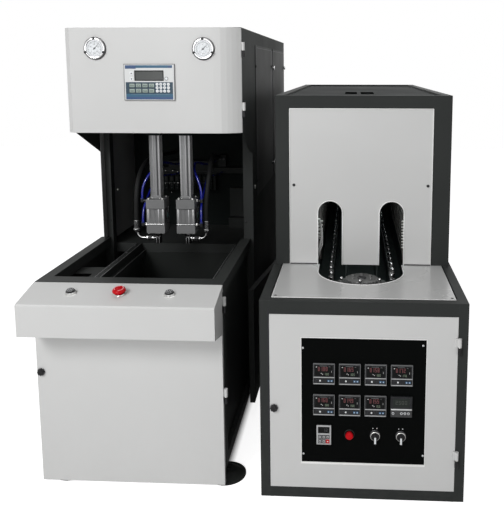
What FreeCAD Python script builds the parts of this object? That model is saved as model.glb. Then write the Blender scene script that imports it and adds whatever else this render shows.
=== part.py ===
import FreeCAD, Part
import Sketcher
import math
import os

# Blow moulding set: blowing cabinet on the left, preform heating cabinet on the right.
# Millimetres.  X to the right, Y to the rear, Z up.  Sizes are written once in the sheet.
V = FreeCAD.Vector
doc = FreeCAD.newDocument("BlowMouldingSet")
sheet = doc.addObject("Spreadsheet::Sheet", "Sizes")

SIZES = [
    ("placex", -407.5, "shift that centres the set across"),
    ("placey", -973.5, "shift that centres the set front to back"),
    # blowing cabinet
    ("bwide", 650.0, "lower cabinet width"),
    ("towwide", 650.0, "upper cabinet width"),
    ("towshift", 12.0, "upper cabinet sideways offset"),
    ("bdeep", 1960.0, "rear face of the blowing cabinet"),
    ("tube", 40.0, "frame tube"),
    ("framez", 60.0, "underside of the frame"),
    ("tablez", 727.0, "top of the table rails"),
    ("railw", 60.0, "front table rail width"),
    ("colfront", 640.0, "front face of the columns"),
    ("headfront", 340.0, "front face of the head door"),
    ("headback", 386.0, "front edge of the head side sheets"),
    ("headbot", 1208.0, "underside of the head"),
    ("headtop", 1601.0, "top of the head"),
    ("gussz", 1098.0, "lowest point of the gusset under the head"),
    ("skin", 2.0, "sheet thickness"),
    ("baydeep", 1040.0, "front face of the bay back sheet"),
    ("pitdrop", 37.0, "pit edge below the table"),
    ("pitx0", -160.0, "pit left edge"),
    ("pitx1", 252.0, "pit right edge"),
    ("pity0", 140.0, "pit front edge"),
    ("pitrear", 680.0, "pit rear edge"),
    ("pitfloor", 250.0, "pit floor"),
    ("doorbot", 8.0, "door lower edge"),
    ("doordrop", 27.0, "front door upper edge below the table"),
    ("doorthick", 18.0, "door thickness"),
    ("framegap", 20.0, "frame front face behind the door plane"),
    ("consdeep", 125.0, "console reach in front of the door plane"),
    ("conslip", 15.0, "console lip behind the door plane"),
    ("consdrop", 31.0, "console front upper edge below the table"),
    ("consface", 140.0, "console front lower edge below the table"),
    ("consheel", 169.0, "console rear lower edge below the table"),
    ("hingex", 331.0, "front door hinge axis across"),
    ("hingey", 8.0, "front door hinge axis front to back"),
    ("hhingex", 348.0, "head door hinge axis across"),
    ("hhingey", 378.0, "head door hinge axis front to back"),
    ("hinger", 6.0, "hinge barrel radius"),
    ("pinr", 3.5, "hinge pin radius"),
    ("fit", 0.05, "running fit, on the radius"),
    ("gap", 0.4, "clearance between moving neighbours"),
    ("unitx", 41.0, "middle of the two blowing units"),
    ("unitpitch", 121.0, "distance between the two blowing units"),
    ("unity", 457.0, "axis of the blowing units front to back"),
    ("barrelw", 73.0, "seal cylinder width"),
    ("barrelbot", 800.0, "underside of the seal cylinder"),
    ("capz", 37.0, "end cap height"),
    ("barreltop", 936.0, "top of the seal cylinder"),
    ("stretchw", 41.0, "stretch cylinder width"),
    ("stretchtop", 1510.0, "top of the stretch cylinder"),
    ("nozzler", 11.0, "blow nozzle radius"),
    ("nozzledrop", 48.0, "blow nozzle below its cylinder"),
    ("rodr", 5.0, "stretch rod radius"),
    ("sealstroke", 20.0, "seal stroke"),
    ("stretchstroke", 260.0, "stretch stroke"),
    ("pistonr", 31.0, "seal piston radius"),
    ("hoser", 9.5, "high pressure hose radius"),
    ("airr", 4.5, "air tube radius"),
    ("platenw", 330.0, "platen width"),
    ("platenh", 300.0, "platen height"),
    ("platent", 32.0, "platen thickness"),
    ("clampstroke", 50.0, "platen stroke"),
    ("openhalf", 70.0, "open platen to the middle of the mould"),
    ("footr", 70.0, "blowing cabinet foot radius"),
    ("footh", 22.0, "foot pad height"),
    ("studr", 8.0, "foot stud radius"),
    # heating cabinet
    ("hx", 798.0, "middle of the heating cabinet"),
    ("hwide", 680.0, "lower width"),
    ("huwide", 660.0, "upper width"),
    ("hfront", -45.0, "door face"),
    ("hdeep", 2070.0, "rear face"),
    ("htable", 697.0, "table height"),
    ("hupfront", 370.0, "face of the upper front sheet"),
    ("htop", 1350.0, "top of the upper cabinet"),
    ("htube", 30.0, "frame tube"),
    ("hframez", 4.0, "underside of the frame"),
    ("hpost", 68.0, "front post width of the upper cabinet"),
    ("hdoorw", 618.0, "door width"),
    ("hdoorbot", 41.0, "door lower edge"),
    ("hdoortop", 651.0, "door upper edge"),
    ("hdoort", 16.0, "door thickness"),
    ("winx0", -203.0, "window left"),
    ("winx1", 208.0, "window right"),
    ("winz0", 129.0, "window bottom"),
    ("winz1", 572.0, "window top"),
    ("archr", 49.0, "arch radius"),
    ("archx", 117.5, "half the distance between the two arches"),
    ("archspring", 902.0, "height where the arch starts"),
    ("cutr", 160.0, "half-round table cut radius"),
    ("cuty", 284.0, "middle of the half-round cut front to back"),
    ("wheely", 312.0, "front sprocket axis front to back"),
    ("pitchr", 118.0, "sprocket pitch radius"),
    ("teeth", 10.0, "spindles on one full turn"),
    ("runs", 21.0, "spindle pitches in one straight run"),
    ("spindletop", 696.0, "tip of the spindles"),
    ("ctrl", 70.0, "controller face"),
    ("ctrlx0", -128.0, "first controller column"),
    ("ctrldx", 85.5, "controller column spacing"),
    ("ctrlz0", 449.0, "first controller row"),
    ("ctrldz", 109.0, "controller row spacing"),
    ("buttonz", 235.0, "button row height"),
    ("hhingea", 314.0, "heater door hinge axis from the middle"),
    ("hhingeb", -51.5, "heater door hinge axis front to back"),
]
for row, (name, value, note) in enumerate(SIZES, start=1):
    sheet.set("A%d" % row, note)
    sheet.set("B%d" % row, str(value))
    sheet.setAlias("B%d" % row, name)
doc.recompute()


class Size:
    """A value of the sheet, or a sum made from such values: its formula and its number."""

    def __init__(self, t, v):
        self.t = t
        self.v = float(v)

    def __add__(self, o):
        o = size(o)
        return Size("(%s + %s)" % (self.t, o.t), self.v + o.v)

    def __radd__(self, o):
        return size(o) + self

    def __sub__(self, o):
        o = size(o)
        return Size("(%s - %s)" % (self.t, o.t), self.v - o.v)

    def __rsub__(self, o):
        return size(o) - self

    def __mul__(self, o):
        o = size(o)
        return Size("(%s * %s)" % (self.t, o.t), self.v * o.v)

    def __rmul__(self, o):
        return size(o) * self

    def __truediv__(self, o):
        o = size(o)
        return Size("(%s / %s)" % (self.t, o.t), self.v / o.v)

    def __neg__(self):
        return Size("(0 - %s)" % self.t, -self.v)


def size(a):
    if isinstance(a, Size):
        return a
    return Size("(%.6f)" % float(a), a)


class Book:
    def __getattr__(self, name):
        return Size("Sizes." + name, sheet.get(name))


s = Book()
counter = [0]
bases = {}
parts = []


def new(kind, name):
    counter[0] += 1
    return doc.addObject(kind, "%s_%d" % (name, counter[0]))


def bind(obj, prop, value):
    obj.setExpression(prop, size(value).t)


def locate(obj, x, y, z):
    bases[obj.Name] = (size(x), size(y), size(z))
    bind(obj, "Placement.Base.x", x)
    bind(obj, "Placement.Base.y", y)
    bind(obj, "Placement.Base.z", z)
    return obj


def box(x0, x1, y0, y1, z0, z1, name="Block"):
    obj = new("Part::Box", name)
    bind(obj, "Length", size(x1) - x0)
    bind(obj, "Width", size(y1) - y0)
    bind(obj, "Height", size(z1) - z0)
    return locate(obj, x0, y0, z0)


TURN = {
    "z": FreeCAD.Rotation(),
    "x": FreeCAD.Rotation(V(0, 1, 0), 90),
    "y": FreeCAD.Rotation(V(1, 0, 0), -90),
    "-y": FreeCAD.Rotation(V(1, 0, 0), 90),
}


def cyl(axis, x, y, z, r, length, name="Round"):
    obj = new("Part::Cylinder", name)
    obj.Placement = FreeCAD.Placement(V(0, 0, 0), TURN[axis])
    bind(obj, "Radius", r)
    bind(obj, "Height", length)
    return locate(obj, x, y, z)


def fuse(*objs):
    if len(objs) == 1:
        return objs[0]
    obj = new("Part::MultiFuse", "Joined")
    obj.Shapes = list(objs)
    return obj


def meets(a, b):
    return all(a[i][0].v < b[i][1].v - 1e-6 and b[i][0].v < a[i][1].v - 1e-6 for i in range(3))


def welded(label, bars):
    """Bars given by their six limits.  Each is cut back to the bars before it, so they butt."""
    done = []
    for bar in bars:
        limits = [(size(bar[0]), size(bar[1])), (size(bar[2]), size(bar[3])), (size(bar[4]), size(bar[5]))]
        hits = [b for lim, b in done if meets(limits, lim)]
        solid = box(*bar)
        if hits:
            solid = cut(solid, *hits)
        done.append((limits, solid))
    return group(label, [b for lim, b in done])


def cut(base, *tools):
    obj = new("Part::Cut", "Cut")
    obj.Base = base
    obj.Tool = fuse(*tools)
    return obj


def plane(body, role):
    for feature in body.Origin.OriginFeatures:
        if feature.Role == role:
            return feature


def draw(sketch, loop):
    """One closed loop of straight lines; each corner is held by two sizes."""
    first = sketch.GeometryCount
    pts = [(size(a), size(b)) for a, b in loop]
    n = len(pts)
    for i in range(n):
        a, b = pts[i], pts[(i + 1) % n]
        sketch.addGeometry(Part.LineSegment(V(a[0].v, a[1].v, 0), V(b[0].v, b[1].v, 0)), False)
    for i in range(n):
        sketch.addConstraint(Sketcher.Constraint("Coincident", first + i, 2, first + (i + 1) % n, 1))
    for i in range(n):
        for kind, value in (("DistanceX", pts[i][0]), ("DistanceY", pts[i][1])):
            k = sketch.addConstraint(Sketcher.Constraint(kind, -1, 1, first + i, 1, value.v))
            label = "%s%d" % (kind[-1].lower(), first + i)
            sketch.renameConstraint(k, label)
            sketch.setExpression("Constraints." + label, value.t)


def pad(where, loop, start, length, holes=(), name="Sheet"):
    """A profile drawn in a plane and raised from start over length along +X, +Y or +Z."""
    body = new("PartDesign::Body", name)
    sketch = body.newObject("Sketcher::SketchObject", body.Name + "_profile")
    role = {"XY": "XY_Plane", "XZ": "XZ_Plane", "YZ": "YZ_Plane"}[where]
    sketch.AttachmentSupport = [(plane(body, role), "")]
    sketch.MapMode = "FlatFace"
    start = size(start)
    offset = -start if where == "XZ" else start
    sketch.setExpression("AttachmentOffset.Base.z", offset.t)
    draw(sketch, loop)
    for hole in holes:
        draw(sketch, hole)
    feature = body.newObject("PartDesign::Pad", body.Name + "_pad")
    feature.Profile = sketch
    bind(feature, "Length", length)
    if where == "XZ":
        feature.Reversed = True
    body.Tip = feature
    return body


def spin(profile, rotation, x, y, z, name="Turned"):
    """A half profile of (radius, height) corners turned about its axis and set in place."""
    body = new("PartDesign::Body", name)
    sketch = body.newObject("Sketcher::SketchObject", body.Name + "_profile")
    sketch.AttachmentSupport = [(plane(body, "XZ_Plane"), "")]
    sketch.MapMode = "FlatFace"
    draw(sketch, profile)
    feature = body.newObject("PartDesign::Revolution", body.Name + "_turn")
    feature.Profile = sketch
    feature.ReferenceAxis = (sketch, ["V_Axis"])
    feature.Angle = 360.0
    body.Tip = feature
    body.Placement = FreeCAD.Placement(V(0, 0, 0), rotation)
    return locate(body, x, y, z)


def finish(obj, label):
    """Name a sub-part and move it into the frame of the whole set."""
    x, y, z = bases.get(obj.Name, (size(0), size(0), size(0)))
    bind(obj, "Placement.Base.x", s.placex + x)
    bind(obj, "Placement.Base.y", s.placey + y)
    bind(obj, "Placement.Base.z", z)
    obj.Label = label
    parts.append(obj)
    return obj


def group(label, objs):
    """Like pieces that share one file, each a solid of its own."""
    obj = new("Part::Compound", "Set")
    obj.Links = list(objs)
    return finish(obj, label)


def free(label, shape):
    obj = new("Part::Feature", "Form")
    obj.Shape = shape
    return finish(obj, label)


def route(points):
    """Straight runs joined by tangent arcs, each arc as large as its two runs allow."""
    pts = [V(*p) for p in points]
    edges = []
    radii = []
    at = pts[0]
    for i in range(1, len(pts) - 1):
        a, b, c = pts[i - 1], pts[i], pts[i + 1]
        u = (a - b).normalize()
        w = (c - b).normalize()
        turn = math.pi - u.getAngle(w)
        reach = 0.45 * min((a - b).Length, (c - b).Length)
        radius = reach / math.tan(turn / 2.0)
        p = b + u * reach
        q = b + w * reach
        mid = (u + w).normalize()
        centre = b + mid * math.hypot(reach, radius)
        m = centre - mid * radius
        radii.append("%.0f" % radius)
        edges.append(Part.LineSegment(at, p).toShape())
        edges.append(Part.Arc(p, m, q).toShape())
        at = q
    edges.append(Part.LineSegment(at, pts[-1]).toShape())
    print("arc radii", " ".join(radii))
    return Part.Wire(edges)


def hose(points, radius):
    path = route(points)
    first = V(*points[0])
    direction = (V(*points[1]) - first).normalize()
    circle = Part.Wire([Part.Circle(first, direction, radius).toShape()])
    tube = path.makePipeShell([circle], True, False)
    want = math.pi * radius ** 2 * path.Length
    if abs(tube.Volume - want) > 0.02 * want:
        raise RuntimeError("hose volume %.0f, expected %.0f" % (tube.Volume, want))
    return tube


# --------------------------------------------------------------- blowing cabinet
left = -(s.bwide / 2)
right = s.bwide / 2
tl = s.towshift - s.towwide / 2
tr = s.towshift + s.towwide / 2
t = s.tube
back = s.bdeep
fy = s.framegap
pitz = s.tablez - s.pitdrop
doortop = s.tablez - s.doordrop
constop = s.tablez - s.consdrop
consbot = s.tablez - s.consface
consheel = s.tablez - s.consheel
door_hinges = (doortop - 41, doortop - 367)
colback = s.colfront + t

welded("blower_frame", [
    # posts
    (left, left + t, fy, fy + t, s.framez, s.tablez),
    (right - t, right, fy, fy + t, s.framez, s.tablez),
    (tl, tl + t, s.colfront, colback, s.framez, s.headtop),
    (tr - t, tr, s.colfront, colback, s.framez, s.headtop),
    (tl, tl + t, back - t, back, s.framez, s.headtop),
    (tr - t, tr, back - t, back, s.framez, s.headtop),
    # table rails
    (left, left + t, fy, s.colfront, s.tablez - t, s.tablez),
    (right - t, right, fy, s.colfront, s.tablez - t, s.tablez),
    (left, right, fy, fy + s.railw, s.tablez - t, s.tablez),
    # floor rails
    (tl, left + t, fy, back, s.framez, s.framez + t),
    (tr - t, right, fy, back, s.framez, s.framez + t),
    (left, right, fy, fy + t, s.framez, s.framez + t),
    (tl, tr, s.colfront, colback, s.framez, s.framez + t),
    (tl, tr, back - t, back, s.framez, s.framez + t),
    # pit rear rail and bay floor
    (tl, tr, s.pitrear, s.pitrear + t, pitz - t, pitz),
    (tl, tr, s.pitrear, s.baydeep, pitz - s.skin, pitz),
    # head
    (tl, tl + t, s.headback, back, s.headtop - t, s.headtop),
    (tr - t, tr, s.headback, back, s.headtop - t, s.headtop),
    (tl, tr, s.headback, s.headback + t, s.headtop - t, s.headtop),
    (tl, tr, back - t, back, s.headtop - t, s.headtop),
    (tl, tl + t, s.headback, s.headback + t, s.headbot + 6, s.headtop),
    (tr - t, tr, s.headback, s.headback + t, s.headbot + 6, s.headtop),
    (tl, tr, s.headback, s.headback + t, s.headbot + 6, s.headbot + 6 + t),
    (tl, tl + t, s.headback, colback, s.headbot + 6, s.headbot + 6 + t),
    (tr - t, tr, s.headback, colback, s.headbot + 6, s.headbot + 6 + t),
    (tl, tr, s.baydeep + s.skin, s.baydeep + s.skin + t, s.headbot + 6, s.headbot + 6 + t),
    (tl, tl + t, s.baydeep + s.skin, s.baydeep + s.skin + t, s.framez, s.headtop),
    (tr - t, tr, s.baydeep + s.skin, s.baydeep + s.skin + t, s.framez, s.headtop),
    # welded side sheets of the table section, set back between the tubes
    (left + 15, left + 15 + s.skin, fy + t, s.colfront, s.framez + t, s.tablez - t),
    (right - 15 - s.skin, right - 15, fy + t, s.colfront, s.framez + t, s.tablez - t),
    # plates that carry the two left feet
    (left + t, left + t + 50, fy + t, fy + t + 50, s.framez, s.framez + 8),
    (left + t, left + t + 50, back - t - 60, back - t, s.framez, s.framez + 8),
])

# levelling feet: turned pad with its stud
fr = s.footr
pad_profile = [(0, 0), (fr, 0), (fr, 5.5), (fr * 0.83, 7), (fr * 0.45, s.footh), (s.studr * 1.9, s.footh), (s.studr * 1.9, s.footh + 9), (s.studr, s.footh + 9), (s.studr, s.framez), (0, s.framez)]
hfr = s.htube
hpad_profile = [(0, 0), (hfr, 0), (hfr, s.hframez - 1.5), (hfr - 1.5, s.hframez), (0, s.hframez)]
hl = s.hx - s.hwide / 2
hr = s.hx + s.hwide / 2
hcf = s.hfront
foot_y = (fy + fr - 12, back - fr - 8)
feet = []
for fx in (right - s.studr - 3, left + 75):
    for y in foot_y:
        feet.append(spin(pad_profile, TURN["z"], fx, y, 0, "Foot"))
for fx in (hl + hfr + 5, hr - hfr - 5):
    for y in (hcf + hfr + 5, s.hdeep - hfr - 5):
        feet.append(spin(hpad_profile, TURN["z"], fx, y, 0, "Foot"))
group("levelling_feet", feet)


# side sheets with the gusset that carries the overhanging head
def gusset_line(bow):
    steps = (0.0, 0.2, 0.4, 0.6, 0.8, 1.0)
    out = []
    for a in steps:
        drop = a ** bow
        out.append((s.colfront + (s.headback - s.colfront) * a, s.gussz + (s.headbot - s.gussz) * drop))
    return out


def side_outline(bow):
    return [(s.colfront, s.framez)] + gusset_line(bow) + [(s.headback, s.headtop), (back, s.headtop), (back, s.framez)]


finish(pad("YZ", side_outline(1.0), tl - s.skin, s.skin), "blower_left_panel")
winy = ((s.colfront + 120, back - 655), (back - 575, back - 60))
winz0, winz1 = s.headtop - 696, s.headtop - 66
wins = [[(a, winz0), (b, winz0), (b, winz1), (a, winz1)] for a, b in winy]
finish(pad("YZ", side_outline(1.6), tr, s.skin, holes=wins), "blower_right_panel")

# screwed covers over the two openings, and the overlay cover low on the right
cover = []
for a, b in winy:
    lid = box(tr + s.skin, tr + s.skin * 2, a - 14, b + 14, winz0 - 14, winz1 + 14)
    heads = [cyl("x", tr + s.skin * 2, y, z, 6, 3) for y in (a - 7, b + 7) for z in (winz0 + 55, winz1 - 75)]
    cover.append(fuse(lid, *heads))
low = cut(pad("YZ", [(478, 64), (1400, 64), (1400, 410), (478, 553)], tr + s.skin, 21),
          pad("YZ", [(480, 66), (1398, 66), (1398, 407.9), (480, 550.6)], tr, s.skin + 19))
cover.append(low)
group("right_side_covers", cover)

rear = cut(box(tl - s.skin, tr + s.skin, back, back + s.skin, s.framez, s.headtop),
           *[box(-230, 250, back - 1, back + 5, z, z + 8) for z in (300, 325, 350, 375, 400, 425, 1300, 1325, 1350, 1375)])
finish(rear, "blower_rear_panel")
finish(box(tl - s.skin, tr + s.skin, s.headback, back + s.skin, s.headtop, s.headtop + s.skin), "blower_roof_panel")

# head floor with clamps round the two stretch cylinders
ux = (s.unitx - s.unitpitch / 2, s.unitx + s.unitpitch / 2)
uy = s.unity
sw = s.stretchw / 2
floor_tools = []
clamps = []
for x in ux:
    floor_tools.append(box(x - sw - 0.3, x + sw + 0.3, uy - sw - 0.3, uy + sw + 0.3, s.headbot - 40, s.headbot + 20))
    clamps.append(box(x - sw - 8, x + sw + 8, uy - sw - 8, uy + sw + 8, s.headbot - 18, s.headbot + 1))
floor_tools += [box(tl - 1, tl + t, s.colfront, colback, s.headbot - 1, s.headbot + 7), box(tr - t, tr + 1, s.colfront, colback, s.headbot - 1, s.headbot + 7)]
floor = cut(fuse(box(tl, tr, s.headback, s.baydeep, s.headbot, s.headbot + 6), *clamps), *floor_tools)
finish(floor, "head_floor_plate")

# head door: folded sheet, splayed left edge, rounded right edge
hb, hf, k = s.headback - 2, s.headfront, s.skin
dl, dr = tl - 12, tr + 4
outer = [(dl, hb), (dl, hf + 27), (dl + 25, hf), (tr - 94, hf), (tr - 68, hf + 2), (tr - 46, hf + 7), (tr - 28, hf + 14), (tr - 12, hf + 23), (dr, hf + 34), (dr, hb)]
inner = [(dl + k, hb + 1), (dl + k, hf + 27.9), (dl + 25.9, hf + k), (tr - 94.3, hf + k), (tr - 68.4, hf + 4), (tr - 46.8, hf + 8.9), (tr - 29, hf + 15.8), (tr - 13.2, hf + 24.7), (dr - k, hf + 34.9), (dr - k, hb + 1)]
gx = (-202.0, 206.0)
gz = (s.headtop - 77, s.headtop - 79)
gr = 38.0
tools = [pad("XY", inner, s.headbot + k, s.headtop - s.headbot - 2 * k)]
for x, z in zip(gx, gz):
    tools.append(cyl("y", x, hf - 5, z, gr - 5.6, 20))
kz = s.headtop - 202
tools.append(box(-84, 85, hf - 5, hf + 15, kz - 57, kz + 57))
hdoor = cut(pad("XY", outer, s.headbot, s.headtop - s.headbot - 0.5), *tools)
hx_, hy_ = s.hhingex, s.hhingey
knuckles = []
hinge_z = (s.headtop - 82, s.headtop - 307)
for z in hinge_z:
    knuckles.append(cut(fuse(cyl("z", hx_, hy_, z + s.gap, s.hinger, 28), box(dr - 1, hx_, hy_ - 2, hy_ + 2, z + s.gap, z + 28 + s.gap)),
                        cyl("z", hx_, hy_, z - 1, s.pinr + s.fit, 25)))
finish(fuse(hdoor, *knuckles), "head_door")

# hinge halves with their pins, welded to the two frames
pins = []


def pin_half(x, y, z, leaf, low_len):
    body = fuse(cyl("z", x, y, z - low_len, s.hinger, low_len), cyl("z", x, y, z - low_len, s.pinr, low_len + 22))
    return fuse(body, leaf)


for z in hinge_z:
    leaf = fuse(box(dr + s.gap, dr + s.gap + 3, hy_, s.headback + 24, z - 26, z - 2), box(tr + k, dr + s.gap + 1, s.headback + 6, s.headback + 24, z - 26, z - 2))
    pins.append(pin_half(hx_, hy_, z, leaf, 26))
for z in door_hinges:
    pins.append(pin_half(s.hingex, s.hingey, z, box(right, right + 3, s.hingey, fy + 30, z - 24, z - 2), 24))
hhx = s.hx + s.hhingea
for z in (553, 159):
    pins.append(pin_half(hhx, s.hhingeb, z, box(hhx - 1, hhx + 3, s.hhingeb, hcf, z - 24, z - 2), 24))
group("door_hinge_pins", pins)

# pressure gauges
cases = []
for i, (x, z, side) in enumerate(zip(gx, gz, ("left", "right"))):
    profile = [(0, -22), (gr - 6, -22), (gr - 6, 0.3), (gr + 3, 0.3), (gr + 3, 4), (gr - 1, 9), (gr - 5, 9), (gr - 6, 6), (0, 6)]
    case = spin(profile, TURN["-y"], x, hf, z, "Gauge")
    cases.append(case)
    hub = spin([(0, 6.3), (3.5, 6.3), (3.5, 8.2), (0, 8.2)], TURN["-y"], x, hf, z, "Hub")
    arm = [(-1.6, -7), (1.6, -7), (0.5, 23), (-0.5, 23)]
    c, d = math.cos(math.radians(45)), math.sin(math.radians(45))
    loop = [(x + px * c + py * d, z - px * d + py * c) for px, py in arm]
    needle = fuse(hub, pad("XZ", loop, hf - 7.8, 0.9))
    finish(needle, "gauge_needle_" + side)

group("pressure_gauges", cases)

# membrane keypad with its display
keys = [box(x - 10, x + 10, hf - 4.6, hf - 3, kz + z - 8, kz + z + 8) for x in (-66, -41.5, -17, 7.5) for z in (-13, -34)]
keys += [cyl("-y", x, hf - 3, kz + z, 5.4, 1.4) for x in (29, 43.5, 58, 72) for z in (-8, -21, -34)]
keys += [cyl("-y", x, hf - 3, kz + z, 6, 1.4) for x, z in ((-67, 34), (-67, 12), (66, 15))]
keys += [box(-92, -82, hf - 5, hf - 3, kz - 65, kz + 65), box(83, 93, hf - 5, hf - 3, kz - 65, kz + 65),
         box(-92, 93, hf - 5, hf - 3, kz + 57, kz + 66), box(-92, 93, hf - 5, hf - 3, kz - 66, kz - 58)]
keys += [box(-60, 58, hf - 5, hf - 3, kz + 41, kz + 47), box(-60, 58, hf - 5, hf - 3, kz + 3, kz + 8)]
finish(fuse(box(-93, 94, hf - 3.5, hf - 0.3, kz - 66, kz + 66), box(-80, 80, hf - 1, hf + 45, kz - 54, kz + 53), *keys), "machine_keypad")

# front door, with the console folded from sheet fixed on its upper part
dt = s.doorthick
fd = cut(box(left, right - 2, 0, dt, s.doorbot, doortop),
         box(left + k, right - 2 - k, k, dt + 1, s.doorbot + k, doortop - k))
kn = []
for z in door_hinges:
    kn.append(cut(fuse(cyl("z", s.hingex, s.hingey, z + s.gap, s.hinger, 28), box(right - 4, s.hingex, s.hingey - 2, s.hingey + 2, z + s.gap, z + 28 + s.gap)),
                  cyl("z", s.hingex, s.hingey, z - 1, s.pinr + s.fit, 25)))
latch_x, latch_z = left + 15, doortop - 289
finish(cut(fuse(fd, *kn), cyl("y", latch_x, -2, latch_z, 5 + s.fit, 10)), "front_door")
finish(spin([(0, -14), (5, -14), (5, 0.4), (11, 0.4), (11, 9), (8, 13), (0, 13)], TURN["-y"], latch_x, 0, latch_z, "Latch"), "front_door_latch")

lip = s.conslip
cp = -s.consdeep
slope = (s.tablez - constop) / (s.consdeep + lip)
shell = pad("YZ", [(lip, s.tablez), (cp + 4, constop + slope * 4), (cp, constop - 4), (cp, consbot), (0, consheel), (0, doortop + 2), (lip, doortop + 2)], left, s.bwide)
hollow = pad("YZ", [(lip + 1, s.tablez - k), (cp + 5, constop + slope * 5 - k - 0.3), (cp + k, constop - 5), (cp + k, consbot + k * 0.8), (-0.5, consheel + k), (-0.5, doortop + 2), (lip + 1, doortop + 2)], left + k, s.bwide - 2 * k)
tilt = math.atan(slope.v)
axis = FreeCAD.Rotation(V(1, 0, 0), math.degrees(tilt))
by = -52.0
bz = s.tablez - slope * (lip + 52.0)
ny, nz = -math.sin(tilt), math.cos(tilt)
stations = (("start_button_left", -169.0), ("emergency_stop_button", -5.0), ("start_button_right", 162.0))
bores, collars = [], []
for name, x in stations:
    bores.append(spin([(0, -20), (13.2, -20), (13.2, 8), (0, 8)], axis, x, by, bz, "Bore"))
finish(cut(shell, hollow, *bores), "console_box")
for name, x in stations:
    if name.startswith("emer"):
        collars.append(spin([(13 + s.fit, 0), (17, 0), (17, 2), (16, 4), (13 + s.fit, 4)], axis, x, by, bz, "Collar"))
    else:
        collars.append(spin([(13 + s.fit, 0), (17, 0), (17, 5), (15.5, 9), (13 + s.fit, 9)], axis, x, by, bz, "Collar"))
group("console_button_collars", collars)
for name, x in stations:
    if name.startswith("emer"):
        prof = [(0, -16), (13, -16), (13, 9.5), (19, 9.5), (22, 12), (22, 16), (19, 20), (13, 22.5), (0, 23.5)]
    else:
        prof = [(0, -16), (13, -16), (13, 13), (12, 14), (0, 14)]
    finish(spin(prof, axis, x, by, bz, "Button"), name)

# mould pit: sheet tray with its two pairs of guide bars and the side shelf
px0, px1, py0, pr, pf, pz = s.pitx0, s.pitx1, s.pity0, s.pitrear, s.pitfloor, pitz
shelfz = pitz - 5
welded("mould_pit_tray", [
    (px0 - k, px0, py0 - k, pr, pf, pz),
    (px1, px1 + k, py0 - k, pr, pf, pz),
    (px0, px1, py0 - k, py0, pf, pz),
    (px0, px1, pr - k, pr, pf, pz - t),
    (px0 - k, px1 + k, py0 - k, pr, pf - k, pf),
    # guide bars on both edges
    (px0 - 24, px0 - k, py0 - k, pr, pz - 20, pz),
    (px0, px0 + 14, py0, pr - k, pz - 60, pz - 28),
    (px1 + k, px1 + 20, py0 - k, pr, pz - 20, pz),
    (px1 - 14, px1, py0, pr - k, pz - 60, pz - 28),
    # front shelf behind the front rail, and the left shelf with its square opening
    (left + t, right - t, fy + s.railw, py0 - k, shelfz - k, shelfz),
    (left + 17, px0 - 24, py0 - k, 190, shelfz - k, shelfz),
    (left + 17, -285, 190, 250, shelfz - k, shelfz),
    (-215, px0 - 24, 190, 250, shelfz - k, shelfz),
    (left + 17, px0 - 24, 250, 330, shelfz - k, shelfz),
])

# platens that close on the mould, each on its clamp cylinder
pw, ph, pt = s.platenw / 2, s.platenh, s.platent
pcx = (px0 + px1) / 2
platz1 = pz - 130
platz0 = platz1 - ph
clen = s.clampstroke + 32
front_face = s.unity - s.openhalf
rear_face = s.unity + s.openhalf
zc = (platz0 + platz1) / 2
seat0, seat1 = py0, pr - k


def platen(y0, y1, facing, seat):
    """Plate with three slots in its mould face, ears for the guides, rod and piston."""
    plate = box(pcx - pw, pcx + pw, y0, y1, platz0, platz1)
    g0, g1 = (y1 - 10, y1 + 1) if facing > 0 else (y0 - 1, y0 + 10)
    plate = cut(plate, *[box(pcx + dx - 7, pcx + dx + 7, g0, g1, platz0 - 1, platz1 + 1) for dx in (-100, 0, 100)])
    ears = [box(pcx - pw - 30, pcx - pw + 5, y0, y1, platz1 - 30, platz1), box(pcx + pw - 5, pcx + pw + 30, y0, y1, platz1 - 30, platz1)]
    if facing > 0:
        rod = cyl("y", pcx, seat + 9, zc, 16, y0 - seat - 8)
        piston = cyl("y", pcx, seat + 9, zc, 48, 10)
    else:
        rod = cyl("y", pcx, y1 - 1, zc, 16, seat - 9 - y1 + 1)
        piston = cyl("y", pcx, seat - 19, zc, 48, 10)
    return fuse(plate, rod, piston, *ears)


finish(platen(front_face - pt, front_face, 1, seat0), "clamp_platen_front")
finish(platen(rear_face, rear_face + pt, -1, seat1), "clamp_platen_rear")
cylinders = [
    cut(box(pcx - 60, pcx + 60, seat0, seat0 + clen, zc - 60, zc + 60),
        cyl("y", pcx, seat0 + 8, zc, 48 + s.fit, clen - 20), cyl("y", pcx, seat0 + clen - 15, zc, 16 + s.fit, 20)),
    cut(box(pcx - 60, pcx + 60, seat1 - clen, seat1, zc - 60, zc + 60),
        cyl("y", pcx, seat1 - clen + 12, zc, 48 + s.fit, clen - 20), cyl("y", pcx, seat1 - clen - 5, zc, 16 + s.fit, 20)),
]
group("clamp_cylinders", cylinders)

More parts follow.
